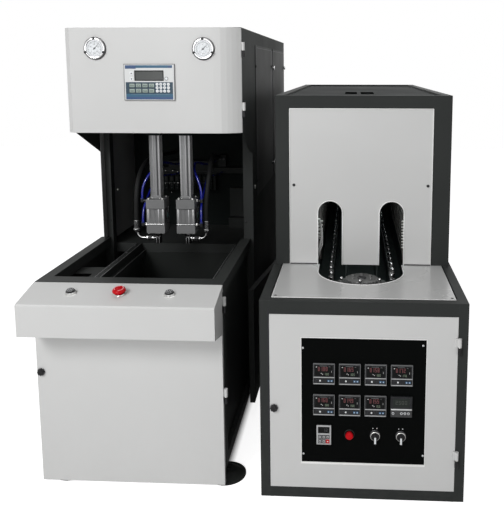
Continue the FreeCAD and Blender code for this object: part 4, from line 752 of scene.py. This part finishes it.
for z, marks in zip((KEYPAD_Z - 12, KEYPAD_Z - 31.5), KEY_MARKS):
    for x, (w, h) in zip((-65, -40.5, -16, 8.7), marks):
        b.boxes(x, z, (-10.9, 10.9, 333.6, 334.6, -7.8, 7.8, "ink", 0.3), (-9.9, 9.9, 332.9, 334.0, -6.8, 6.8, "key_green", 0.5))
        b.border(x - w / 2 - 2, x + w / 2 + 2, z - h / 2 - 1.4, z + h / 2 + 1.4, 1.1, 332.7, 332.95, "ink")
for z, figures in zip((KEYPAD_Z - 7.5, KEYPAD_Z - 20, KEYPAD_Z - 32.5), ("789", "456", "123")):
    for i, x in enumerate((30, 44, 58, 72.5)):
        b.turn(P(x, 334.6, z), FRONT, [(5.7, 0), (5.7, 1.2), (5.0, 1.8), (0, 1.8)], "key_white", 24)
        if i < 3:
            digits(b, figures[i], x - 1.1, 332.85, z - 2, 4, "ink")
        else:
            b.boxes(x, z, (-2, 2, 332.6, 332.85, -0.5, 0.5, "ink"))
b.boxes(0, KEYPAD_Z, (-70, 77, 334.25, 334.4, -45.5, -45, "key_green"))
b.done(30)

# ------------------------------------------------------------------ caps of all hinges, and dark sleeves as painted shade on their lower halves
b = Build("head_hinge_caps", "cabinets", "door_hinge_pins")
for x, y, heights in ((348, 378, (1519, 1294)), (331, 8, (659, 333)), (1112, -51.5, (553, 159))):
    for z in heights:
        b.turn(P(x, y, z + 22.2), UP, [(0, 0), (2.6, 0), (2.6, 0.6), (0, 0.9)], "steel_bright", 20)
        # dark sleeve over the lower half of each knuckle: painted shade
        b.turn(P(x, y, z - 26.3), UP, [(0, 0), (6.6, 0), (6.6, 24.5), (3, 24.9)], "black_plastic", 24)
b.done()

# ------------------------------------------------------------------ instruments of the heating cabinet
COLUMNS = (670.0, 755.5, 841.0, 926.5)
CONTROLLER_ROWS, KNOB_ROW = (449.0, 340.0), 235.0
READ = (("180", "180"), ("165", "165"), ("158", "160"), ("172", "170"), ("160", "160"), ("149", "150"), ("155", "155"))
GLASS_Y, KEYS_Y = -47.9, -48.9           # faces of the displays and of the key strips
for n in range(8):
    x, z, timer = COLUMNS[n % 4], CONTROLLER_ROWS[n // 4], n == len(READ)
    b = Build("controller_%d" % n, "heater_door", "temperature_controllers")
    b.border(x - 35.6, x + 35.6, z - 35.6, z + 35.6, 1.3, -50.4, -43.0, "bezel" if timer else "bezel_line", 0.3)
    if timer:
        b.boxes(x, z, (-27, 27, GLASS_Y, -47.55, -2, 28, "lcd_dim"))
        digits(b, "2500", x - 19, GLASS_Y, z + 8, 13, "lcd_digit")
        b.boxes(x, z, (-34.6, 34.6, -50.2, KEYS_Y, -11, -6.6, "white_plastic", 0.4),
                (-34.6, 34.6, -51.0, KEYS_Y, -34.6, -11, "timer_foot", 0.6))
        for dx in (-27, 0.5, 12, 23.5):
            b.turn(P(x + dx, -51.0, z - 21.5), FRONT, [(4.1, 0), (4.1, 0.8), (2.6, 1.0), (2.6, 0.7), (0, 0.7)], seg=20,
                   mats=["key_white", "key_white", "ink", "ink"])
    else:
        actual, wanted = READ[n]
        b.boxes(x, z, (-31, 31, GLASS_Y, -47.55, -8.2, 30.5, "screen_dark"))
        digits(b, "0" + actual, x - 19.5, GLASS_Y, z + 10.0, 14.5, "led_red", wide=0.41)
        digits(b, wanted, x + 1, GLASS_Y, z - 4.5, 8.0, "led_green", wide=0.48)
        b.boxes(x, z, (-10, -7.6, -48.2, GLASS_Y, 0.8, 2.8, "led_white"), (-5.5, -3.5, -48.2, GLASS_Y, -2, 0, "led_white"),
                (16, 21, -48.2, GLASS_Y, 25, 26.2, "bezel_line"), (24.5, 25.7, -48.2, GLASS_Y, 5, 12, "pad_grey"),
                (-26.5, -23, -48.2, GLASS_Y, 23, 25, "led_white"), (-14, 10, -48.1, GLASS_Y, 27.2, 28.2, "bezel_line"),
                (-34.6, 34.6, -50.0, KEYS_Y, -12.8, -9.8, "pad_grey", 0.3),
                (-34.6, 34.6, -49.8, KEYS_Y, -34.6, -32.0, "pad_grey", 0.3))
        b.turn(P(x - 12.6, KEYS_Y, z - 22.6), FRONT, [(2.9, 0), (2.9, 2.2), (0, 2.6)], "key_white", 16)
        for dx in (15.6, 25.4):
            b.boxes(x + dx, z, (-3.2, 3.2, -51.4, KEYS_Y, -25.6, -19.8, "led_blue", 0.6),
                    (-1.4, 1.4, -51.7, -51.3, -24.0, -21.6, "key_white"))
    b.done(30)

b = Build("speed_keypad", "heater_door", "temperature_controllers")
pad_x = COLUMNS[0]
b.boxes(pad_x, KNOB_ROW, (-24.3, -19.5, -51.0, -49.7, -34.3, 34.3, "pad_grey", 0.4),
        (19.5, 24.3, -51.0, -49.7, -34.3, 34.3, "pad_grey", 0.4), (-19.6, 19.6, -51.0, -49.7, 28.6, 34.3, "pad_grey", 0.4),
        (-19.6, 19.6, -51.0, -49.7, -34.3, 5.6, "pad_grey", 0.4), (-19.6, 19.6, -49.6, -49.2, 5, 29, "screen_dark"))
digits(b, "12", pad_x - 2, -49.6, KNOB_ROW + 11, 11, "grey_plastic")
for dz in (-6.5, -22.5):
    for dx in (-13, 0, 13):
        x, z = pad_x + dx, KNOB_ROW + dz
        if (dx, dz) == (13, -22.5):
            b.boxes(x, z, (-6.1, 6.1, -52.0, -50.9, -7, 7, "red_plastic", 0.5), (-2, 2, -52.6, -51.9, -1.6, 1.6, "key_white"))
        else:
            b.boxes(x, z, (-6.1, 6.1, -52.0, -50.9, -7, 7, "bezel", 0.5), (-3.9, 3.9, -52.3, -51.9, -4.2, 4.2, "pad_grey", 0.3),
                    (-2, 2, -52.6, -52.2, -1.6, 1.6, "ink"))
b.done(30)

for x, s in zip(COLUMNS[2:], ("left", "right")):
    b = Build("selector_pointer_" + s, "selector_" + s, "selector_left")
    b.boxes(x, KNOB_ROW, (-3.0, 3.0, -63.8, -56.0, -20.5, 2, "key_white", 0.6))
    b.turn(P(x, -50.7, KNOB_ROW), FRONT, [(15.6, 0), (15.8, 1.6), (14.2, 2.8), (13.2, 3.0)], seg=40,
           mats=["zinc", "zinc", "black_plastic"])
    b.done()
b = Build("button_rings", "heater_door", "temperature_controllers")
for x in COLUMNS[2:]:
    for dx in (-7, 6):
        b.turn(P(x + dx, -43.0, KNOB_ROW + 26 - abs(dx) * 0.3), FRONT, [(1.7, 0), (1.7, 0.4), (0, 0.4)], "key_white", 12)
# rings in darkened chrome: painted dark reflection
for x, m in zip(COLUMNS[1:], ("black_plastic", "chrome_dark", "chrome_dark")):
    b.turn(P(x, -43.0, KNOB_ROW), FRONT, [(17.2, 0), (17.2, 0.9), (16.2, 1.5), (15.2, 1.5)], m, 40)
b.done()
on_places("instrument_screws", "instrument_panel", pan_head(3.3, 1.8), "key_white", "ink", FORWARD,
          [(x, -43.2, z) for x, z in ((600, 536), (995, 552), (601, 162), (1001, 166))], body="heater_door")

# ------------------------------------------------------------------ cylinders and blowing units
BLOCK_LOW, BLOCK_TOP = 800.0, 936.0      # ends of the seal cylinders
BARREL_LOW, BARREL_TOP = BLOCK_LOW + 37.5, BLOCK_TOP - 37.5
LONG_LOW, LONG_TOP = BLOCK_TOP + 14, 1505        # grooves of the stretch cylinders
PIPE_Z = 773.0                           # the pipe into the nozzle
# strips in the grooves of the profiles; their bright and dark aluminium are painted highlights and painted shade
LIT_GROOVES_FRONT = ((-30, 6.5, 421.4, "alu_bright"), (-21, 2, 423.2, "alu_dark"), (12, 4.5, 423.0, "alu_bright"),
                 (20.5, 7, 423.6, "alu_dark"), (30, 6.0, 420.9, "alu_bright"))
LIT_GROOVES_SIDE = ((432, "alu_dark", 3), (446, "alu_dark", 2), (458, "alu_dark", 2), (485.5, "alu_bright", 5))
LIT_GROOVES_LONG = {"left": ((-17.4, 5.2, "alu_cast"), (-6.5, 2.4, "alu_bright"), (8.2, 4.0, "alu_dark"), (16.6, 4.2, "alu_bright")),
                "right": ((-17.8, 4.6, "alu_bright"), (2.2, 3.2, "alu_bright"), (8.6, 4.4, "alu_dark"), (17.6, 4.4, "alu_bright"))}
# per unit: axis, side, way outwards, the ferrule's distance from the axis, and the reach of the upper and lower air port
for x, s, o, ferrule, upper_arm, lower_arm in ((-19.5, "left", -1, 86.5, 25, 19), (101.5, "right", 1, 75.0, 21, 22)):
    b = Build("cylinder_dress_" + s, "cabinets", "seal_cylinders")
    for dx, w, y0, m in LIT_GROOVES_FRONT:
        b.box(x + dx - w / 2, x + dx + w / 2, y0, y0 + 2, BARREL_LOW, BARREL_TOP, m, 0.3)
    b.rod((x - 36, 419.6, BLOCK_LOW + 37.2), (x + 36, 419.6, BLOCK_LOW + 37.2), 1.7, "steel_bright", 10)
    b.rod((x - 36, 419.8, BLOCK_TOP - 37.2), (x + 36, 419.8, BLOCK_TOP - 37.2), 1.0, "alu_dark", 10)
    for y, m, w in LIT_GROOVES_SIDE:
        for sx in (-1, 1):
            b.box(x + sx * 35.6, x + sx * 36.5, y - w / 2, y + w / 2, BARREL_LOW, BARREL_TOP, m, 0.3)
    for dx, w, m in LIT_GROOVES_LONG[s]:
        b.box(x + dx - w / 2, x + dx + w / 2, 435.2, 436.9, LONG_LOW, LONG_TOP, m, 0.3)
    # thin bright strips along the sides of the stretch cylinders: painted highlights
    for y in (440.5, 449, 466, 474):
        for sx in (-1, 1):
            b.box(x + sx * 20.2, x + sx * 21.0, y - 1, y + 1, LONG_LOW, LONG_TOP, "alu_bright", 0.3)
    b.box(x - 22.2, x + 22.2, UNIT_Y - 22.2, UNIT_Y + 22.2, BLOCK_TOP, BLOCK_TOP + 9, "alu_cast", 1.0)
    corners = [(x + sx * 27.5, UNIT_Y + sy * 27.5) for sx in (-1, 1) for sy in (-1, 1)]
    for end, z, turn, height, r in (("top", BLOCK_TOP, UPWARD, 5.2, 5.4), ("foot", BLOCK_LOW, (math.pi, 0, 0), 2.6, 5.0)):
        on_places("cylinder_%s_screws_%s" % (end, s), "seal_cylinders", cap_head(r, height), "zinc", "ink", turn,
                  [(*corner, z) for corner in corners])
    in_row("flange_screws_" + s, "stretch_cylinders", cap_head(2.1, 1.4), "zinc", "ink", FORWARD, 2,
           (x - 15, 434.8, BLOCK_TOP + 4.5), (30, 0, 0))
    # magnetic switch with its cable in the side groove
    b.boxes(x + 36.5, BLOCK_LOW, (0, 6.5, 441, 451, 52, 86, "black_plastic", 0.8), (6.2, 6.9, 442.5, 449.5, 60, 80, "teal_part"))
    b.rod((x + 36.5 + 3.2, 446, BLOCK_LOW + 86), (x + 36.5 + 3.2, 446, BLOCK_LOW + 100), 1.6, "black_plastic")
    b.done(30)
    # sleeve of the nozzle in darkened chrome, a painted dark reflection, with two bright strips as painted highlights;
    # nuts on the pipe, ferrule of the hose
    b = Build("nozzle_dress_" + s, "blow_nozzle_" + s, "blow_nozzle_left")
    ferrule_x = x + ferrule * o
    b.turn(P(x, UNIT_Y, 752.6), UP, [(11.3, 0), (12.9, 2.0), (12.9, 26), (12.0, 27), (12.0, 30), (13.6, 31), (13.6, 38)],
           "chrome_dark", 40)
    # bright strips down the sleeve: painted highlights
    for dx in (-6.2, 4.8):
        b.box(x + dx - 0.9, x + dx + 0.9, UNIT_Y - 12.6, UNIT_Y - 10.6, 754, 779, "alu_bright", 0.3)
    for near, far, r, m in ((16, 19, 12.5, "steel_bright"), (26, 40, 11.2, "black_plastic"), (42, 49, 8.4, "steel_bright")):
        b.nut((x + near * o, UNIT_Y, PIPE_Z), (x + far * o, UNIT_Y, PIPE_Z), r, m)
    b.turn(P(ferrule_x, UNIT_Y, PIPE_Z + 28), UP, [(6, -6), (8.5, -5), (8.5, 1), (12.6, 2), (13.2, 5)], "black_plastic", 32)
    b.turn(P(ferrule_x, UNIT_Y, PIPE_Z + 31.5), UP, [(13.4, 0), (14.3, 1), (14.3, 6), (13.4, 7)], "steel_bright", 32)
    crimp = element("crimp", (PLAIN, 32, [(12.1, 0), (12.7, 0.8), (12.7, 3.4), (12.1, 4.2)]))
    in_row("ferrule_crimps_" + s, "blow_nozzle_left", crimp, "black_plastic", None, UPWARD, 6,
           (ferrule_x, UNIT_Y, PIPE_Z + 39), (0, 0, 5.2), body="blow_nozzle_" + s)
    b.done(30)
    # tips of the two air ports
    b = Build("fitting_rings_" + s, "cabinets", "air_fittings")
    for z, arm, dy in ((BLOCK_TOP - 11, upper_arm, 0), (BLOCK_LOW + 32, lower_arm, -18)):
        b.turn(P(x + 36.5 * o + arm * o, UNIT_Y + dy, z + 6), UP, [(7.2, 0), (7.4, 1), (7.4, 3.6), (6.6, 4.2), (4.9, 4.2)],
               "tube_grip", 28)
        b.nut((x + 36.8 * o, UNIT_Y + dy, z), (x + 43 * o, UNIT_Y + dy, z), 8.6, "zinc")
    b.done(30)

# ------------------------------------------------------------------ back of the bay, pit and side lining
VALVES, VALVE_STEP = 9, (26.5, 0, 0)
valve = block("valve", (0, 21, -19, 0, 0, 72, PLAIN, 1.5), (4, 17, -20.4, -19, 42, 62, MARK, 0.6))
in_row("valves", "valve_manifold", valve, "paint_inner", "paint_dark", UPWARD, VALVES, (-140, 994, 876), VALVE_STEP)
for z in (884, 898, 910):
    in_row("valve_screws_%d" % z, "valve_manifold", pan_head(2.4, 1.2), "steel_dark", "ink", FORWARD, VALVES,
           (-129.5, 975, z), VALVE_STEP)
# small zinc points where the valves show specks of light: painted glints
GLINT_POINTS = ((-123, 1006), (-129, 968), (-73, 962), (-72, 908), (-131, 908), (-103, 862), (-88, 908), (-112, 909),
          (-96, 967), (-60, 1004))
on_places("valve_lights", "valve_manifold", element("spark", (PLAIN, 12, [(2.6, 0), (1.8, 1.6), (0, 2.2)])), "zinc", None,
          FORWARD, [(x, 972, z) for x, z in GLINT_POINTS])
b = Build("valve_rails", "cabinets", "valve_manifold")
for z in (1006, 966, 909):
    b.rod((-146, 973, z), (104, 973, z), 0.9, "alu_dark", 8)
b.done(30)
in_row("bracket_bolts", "valve_manifold", hex_head(6, 5), "alu_dark", None, FORWARD, 2, (128, 998, 1022), (18, 0, 0))
on_places("bay_side_bolt", "blower_frame", pan_head(6.5, 5), "zinc", "ink", RIGHTWARD, [(-272.6, 712, 923)])
for k, x in enumerate((-176, 264)):
    in_row("guide_screws_%d" % k, "mould_pit_tray", cap_head(4.5, 3.2), "steel_dark", "ink", UPWARD, 5, (x, 190, 690), (0, 110, 0))
on_places("column_screws", "blower_frame", pan_head(4.5, 2.4), "black_plastic", "ink", FORWARD,
          [(x, 640, z) for x in (-283, 306) for z in (800, 1150)])
# a light sheet on the inner face of the dark left panel, painting the light that falls there
b = Build("bay_lining", "cabinets", "blower_left_panel")
b.box(-298.4, -297.6, 600, 1036, 700, 1290, "paint_bay", 0.2)
b.done()
# painted highlights along the guide bars' edges by the pit, and the pin below them
b = Build("pit_edges", "cabinets", "mould_pit_tray")
for x, z in ((-183.4, 689.8), (-162.8, 689.8), (-146.6, 661.8), (238.6, 661.8), (254.8, 689.8)):
    b.rod((x, 145, z), (x, 676, z), 1.5, "alu_bright", 8)
b.rod((-158, 240, 560), (-150, 240, 560), 5, "zinc", 12)
b.done()

# ------------------------------------------------------------------ right side of the blowing cabinet
knob = element("knob", (PLAIN, 18, [(4.5, 0), (4.5, 6), (9.5, 8), (10.5, 11), (9.0, 14), (3.5, 14.6), (3.5, 13.6)]),
               (MARK, 18, [(3.5, 13.6), (0, 13.6)]))
on_places("cover_knobs", "right_side_covers", knob, "chrome", "ink", RIGHTWARD, [(339, y, z) for y in (1353, 1906) for z in (1453, 960)])
b = Build("cover_edges", "cabinets", "right_side_covers")
b.box(339.0, 339.5, 1328, 1378, 893, 1540, "ink")
# lighter grey strips along each cover's front and top edges: painted highlights
for ya, yb in ((768.5, 1326.5), (1379.5, 1921.5)):
    b.box(341.0, 341.7, ya, ya + 5, 893, 1540, "grey_plastic")
    b.box(341.0, 341.4, ya, yb, 1538.5, 1540, "grey_plastic")
b.done()
on_places("low_cover_screws", "right_side_covers", pan_head(4.2, 2.2), "black_plastic", "ink", RIGHTWARD,
          [(360, y, z) for y, z in ((500, 100), (500, 500), (1380, 100), (1380, 380), (940, 100), (940, 440))])
b = Build("side_lock", "cabinets", "blower_right_panel")
b.turn(P(339.0, 695, 942), RIGHT, [(9, 0), (9, 1.5), (8, 2.4), (4.5, 2.4), (4.5, 1.4), (0, 1.4)], "zinc", 28)
b.done()

# ------------------------------------------------------------------ console
CONSOLE_TOP, CONSOLE_DROP, CONSOLE_DEPTH = 727, 31, 140  # its sloping face: upper edge, fall and depth
BUTTON_Y, BUTTON_IN = -52, 67            # the row of buttons, and how far it is down the slope
TILT = math.atan2(CONSOLE_DROP, CONSOLE_DEPTH)
SLOPE = Vector((0, -math.sin(TILT), math.cos(TILT)))


def on_console(x):
    return P(x, BUTTON_Y, CONSOLE_TOP - CONSOLE_DROP / CONSOLE_DEPTH * BUTTON_IN)


b = Build("button_marks", "front_door", "console_button_collars")
for x, h in ((-169, 9), (162, 9), (-5, 4)):
    b.turn(on_console(x), SLOPE, [(19.2, 0), (19.2, 1.0), (17.6, 1.8)], "zinc", 48)
    b.turn(on_console(x), SLOPE, [(17.05, 1.0), (17.3, h * 0.4), (16.2, h - 1.2), (15.4, h + 0.2), (13.3, h + 0.2)], seg=48,
           mats=["chrome", "zinc", "alu_bright", "black_plastic"])
b.done()
slots = block("slot", *((dx - 1.3, dx + 1.3, -7.0, 7.0, 0, 1.0, PLAIN, 0.2) for dx in (-5.8, 0, 5.8)))
for s, x in (("start_button_left", -169), ("start_button_right", 162)):
    spread(s + "_slots", s, s, PLACES, slots, "pad_grey", places=[on_console(x) + SLOPE * 0.0146], turn=(TILT, 0, 0))
    b = Build(s + "_cap", s, s)
    b.turn(on_console(x), SLOPE, [(12.4, 13.9), (12.0, 14.5), (10.8, 14.9), (10.2, 14.5), (0, 14.4)], seg=40,
           mats=["bezel_line", "bezel_line", "bezel", "bezel"])
    b.done()
stop = on_console(-5)
b = Build("emergency_stop_mark", "emergency_stop_button", "emergency_stop_button")
# bands of red, and the inner groove in darker red as painted shade
b.turn(stop, SLOPE, [(22.15, 12.5), (22.2, 15.6), (20.8, 18.8), (18.4, 21.0), (16.8, 22.4), (16.2, 22.6), (12.2, 22.4),
                     (11.6, 22.0), (6, 22.2), (0, 22.3)], seg=56, mats=["red_plastic"] * 6 + ["red_dark"] * 3)
b.done()
# pink arrows printed on the cap, which also stand in for its highlights: partly print, partly painted highlight
arrow = block("arrow", (-1.5, 1.5, -2.3, 2.3, 0, 0.9, PLAIN))
for s, first in (("right", -75), ("left", 95)):
    on_ring("emergency_stop_arrow_" + s, "emergency_stop_button", "emergency_stop_button", arrow, "arrow_pink", 9, 14.6,
            first, 15, stop + SLOPE * 0.0223, (TILT, 0, 0))


# ------------------------------------------------------------------ heating cabinet: painted edge highlights and shadows, screws, window trim
def arc(cx, cy, r, n, way=1):
    """Points within a half circle from left to right, on the side that way gives."""
    return [(cx - r * math.cos(math.pi * k / n), cy + way * r * math.sin(math.pi * k / n)) for k in range(1, n)]


b = Build("arch_trim", "cabinets", "heater_front_panel")
r, spring, foot = 47.4, 902, 699
# white beads round the arches and the front sheet: painted highlights
for cx in (675.5, 910.5):
    line = [(cx - r, foot), (cx - r, spring), *arc(cx, spring, r, 20), (cx + r, spring), (cx + r, foot)]
    b.edge_highlight_bead(2.1, *((x, 366.6, z) for x, z in line))
for xa, xb, za, zb in ((521.6, 521.6, 700, 1300), (1060.4, 1060.4, 700, 1300), (521.6, 1060.4, 1300.4, 1300.4)):
    b.edge_highlight_bead(1.7, (xa, 366.8, za), (xb, 366.8, zb))
# dark strips where the front sheet meets the table: painted shadow
for xa, xb in ((521.6, 626), (960, 1060.4)):
    b.box(xa, xb, 365.2, 366.2, 700.4, 703.8, "ink")
b.done(60)
b = Build("table_trim", "cabinets", "heater_table_panel")
cx, cy, r = 793, 284, 159.2              # the half-round cut-out
# white beads round the table's cut-out and edges: painted highlights
line = [(cx - 158.6, 367), (cx - r, cy), *arc(cx, cy, r, 40, -1), (cx + r, cy), (cx + r, 367)]
b.edge_highlight_bead(2.2, *((x, y, 698.2) for x, y in line))
b.edge_highlight_bead(1.3, (494, -12.6, 698), (1102, -12.6, 698))
for x in (494.4, 1101.6):
    b.edge_highlight_bead(1.2, (x, -12, 698), (x, 366, 698))
b.done(60)
in_row("table_screws", "heater_table_panel", pan_head(4.4, 1.6), "black_plastic", "alu_dark", UPWARD, 2, (506, -4, 700.9), (584, 0, 0))
in_row("sheet_screws", "heater_front_panel", pan_head(5.6, 2.4), "black_plastic", "ink", FORWARD, 2, (537, 366, 1010), (508, 0, 0))
b = Build("window_trim", "heater_door", "heater_door")
b.border(593.0, 1008.0, 127.0, 574.0, 2.2, -45.9, -43.4, "trim_white", 0.4)
b.box(594, 1007, -44.6, -43.0, 129.0, 133.5, "trim_white", 0.5)
b.done()
b = Build("door_shadow_gap", "cabinets", "heater_frame")
b.box(483.5, 488.4, -45.3, -44.6, 52, 669, "ink")
b.done()

# ------------------------------------------------------------------ latches of both doors
lobe = element("lobe", (PLAIN, 10, [(2.7, 0), (2.7, 8.0), (1.9, 8.8), (0, 8.8)]))
for door in ("front_door", "heater_door"):
    latch = door + "_latch"
    low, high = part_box(latch)
    middle = (Vector(low) + Vector(high)) / 2
    face = Vector((middle.x, low[1] + 0.0128, middle.z))
    on_ring(latch + "_lobes", latch, latch, lobe, "black_plastic", 8, 10.2, 0, 45, face, FORWARD)
    b = Build(latch + "_ring", door, latch)
    b.turn(face, FRONT, [(12.5, 0.3), (14.7, 0.1), (14.6, 0.9), (13.0, 1.1)], "alu_bright", 36)
    b.done()

# ------------------------------------------------------------------ lamps in the arches
b = Build("lamp_leads", "cabinets", "lamp_banks")
for k in range(10):
    z = 866 - k * 8
    b.tube([(630, 404, z), (638 + k * 0.6, 400, z - 4), (643.5 + k % 3 * 2.0, 397 + k % 2 * 4, z - 34),
            (641 - k * 0.6, 400, 806 - k * 7), (634 - k * 0.5, 402, 772 - k * 6), (627, 403, 740 - k * 4)], 0.95, "wire_white", 7)
b.done(50)
socket = element("socket", (PLAIN, 14, [(4.2, 0), (4.2, 7), (3, 9), (0, 9)]))
terminal = element("terminal", (PLAIN, 12, [(3.4, 0), (3.4, 7), (1.6, 7.6), (1.6, 11), (0, 11)]))
for name, piece, turn, count, start, rise in (("lamp_sockets_left", socket, RIGHTWARD, 6, (627.5, 403, 801), 13.5),
                                              ("lamp_sockets_inner", socket, RIGHTWARD, 4, (637, 408, 815), 15.0),
                                              ("lamp_terminals_right", terminal, LEFTWARD, 10, (962, 405, 760), 11.5)):
    in_row(name, "lamp_banks", piece, "ceramic", None, turn, count, start, (0, 0, rise))

# ------------------------------------------------------------------ chain and sprockets
OVEN_X, WHEEL_R, FRONT_WHEEL = 798, 118.0, 312.0         # middle of the chain, its radius, Y of the front sprocket
BEND, RUN, PHASE = 5, 21, 0.39           # spindles round a sprocket and along a side, and where the first one stands
LINK = 2 * WHEEL_R * math.sin(math.pi / 10)
REAR_WHEEL = FRONT_WHEEL + LINK * RUN


def bend(y, first):
    turns = [first + math.pi * (i + PHASE) / BEND for i in range(BEND)]
    return [(OVEN_X + WHEEL_R * math.cos(a), y + WHEEL_R * math.sin(a)) for a in turns]


stations = bend(FRONT_WHEEL, math.pi) + [(OVEN_X + WHEEL_R, FRONT_WHEEL + LINK * (i + PHASE)) for i in range(RUN)]
stations += bend(REAR_WHEEL, 0.0) + [(OVEN_X - WHEEL_R, REAR_WHEEL - LINK * (i + PHASE)) for i in range(RUN)]
spindle = element("spindle", (MARK, 18, [(10.3, 0), (10.9, 1.5), (10.9, 5), (9.4, 6.4), (9.4, 9), (10.6, 10), (10.6, 13.6),
                                         (6.2, 14.6)]),
                  (PLAIN, 18, [(6.2, 14.6), (5.9, 26), (6.6, 27), (7.0, 30), (6.2, 34), (5.0, 35), (4.6, 40), (5.2, 42),
                               (5.8, 46), (5.4, 50), (4.2, 53.4), (2.2, 55), (0, 55.4)]))
on_places("spindle_tips", "spindle_chain", spindle, "steel_bright", "chain_steel", UPWARD, [(x, y, 642) for x, y in stations])
roller = element("roller", (PLAIN, 14, [(6.5, 0), (6.5, 8), (5.8, 9), (2.4, 9.4), (0, 9.4)]))
on_places("chain_rollers", "spindle_chain", roller, "chain_steel", None, UPWARD,
          [(xa + (xb - xa) * f, ya + (yb - ya) * f, 633)
           for (xa, ya), (xb, yb) in zip(stations, stations[1:] + stations[:1]) for f in (0.33, 0.67)])
tooth = block("tooth", (-4, 4, -3.4, 3.4, 0, 9, PLAIN, 1.2))
lug = block("lug", (-3.4, 3.4, -3, 3, 0, 6.4, PLAIN, 0.8))
bolt = hex_head(6.4, 2.6)
for s, y in (("front_", FRONT_WHEEL), ("rear_", REAR_WHEEL)):
    for name, piece, count, radius, first, z in (("sprocket_teeth", tooth, 30, 104.5, 0, 627), ("hub_lugs", lug, 20, 60, 0, 657),
                                                 ("hub_bolts", bolt, 6, 38, 30, 668)):
        on_ring(s + name, s + "sprocket", "front_sprocket", piece, "chain_steel", count, radius, first, 360 / count,
                P(OVEN_X, y, z), UPWARD)
    b = Build(s + "hub_cap", s + "sprocket", "front_sprocket")
    b.turn(P(OVEN_X, y, 664), UP, [(16, 0), (16, 3), (14, 4.4), (6, 4.4), (6, 2), (0, 2)], "steel_dark", 40)
    b.done()

# ------------------------------------------------------------------ floor
FLOOR_LIFT, FLOOR_HALF = 0.87, 9
floor_mesh = bpy.data.meshes.new("floor")
corners = [(x * FLOOR_HALF, y * FLOOR_HALF, 0) for x, y in ((-1, -1), (1, -1), (1, 1), (-1, 1))]
floor_mesh.from_pydata(corners, [], [(0, 1, 2, 3)])
floor_mesh.materials.append(MATS["floor"])
# where the camera sees the floor it is lifted to the white of the background, and keeps the shadow
t = MATS["floor"].node_tree
lift = add_node(t, "ShaderNodeMath", "MULTIPLY", {1: FLOOR_LIFT})
wire(t, add_node(t, "ShaderNodeLightPath").outputs["Is Camera Ray"], lift.inputs[0])
here = add_node(t, "ShaderNodeTexCoord").outputs["Object"]
lifted = lift.outputs[0]
for name in ("blower_frame", "heater_frame"):            # no lift under the cabinets, which paints shade on the floor there
    low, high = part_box(name)
    half = ((high.x - low.x) / 2, (high.y - low.y) / 2, 9.0)
    inside = add_node(t, "ShaderNodeVectorMath", "SUBTRACT", {1: (low + high) / 2})
    share = add_node(t, "ShaderNodeVectorMath", "DIVIDE", {1: half})
    part, axes = add_node(t, "ShaderNodeVectorMath", "ABSOLUTE"), add_node(t, "ShaderNodeSeparateXYZ")
    far, held = add_node(t, "ShaderNodeMath", "MAXIMUM"), add_node(t, "ShaderNodeMath", "MULTIPLY")
    clear = add_node(t, "ShaderNodeMapRange", From_Min=0.90, From_Max=0.99)
    wire(t, here, inside.inputs[0], inside.outputs[0], share.inputs[0], share.outputs[0], part.inputs[0],
         part.outputs[0], axes.inputs[0], axes.outputs[0], far.inputs[0], axes.outputs[1], far.inputs[1],
         far.outputs[0], clear.inputs["Value"], clear.outputs[0], held.inputs[0], lifted, held.inputs[1])
    lifted = held.outputs[0]
surface = t.nodes["Principled BSDF"].inputs
wire(t, lifted, surface["Emission Strength"])
surface["Emission Color"].default_value = (1, 1, 1, 1)
floor = bpy.data.objects.new("floor", floor_mesh)
bpy.context.collection.objects.link(floor)
floor.location.z = -0.0005
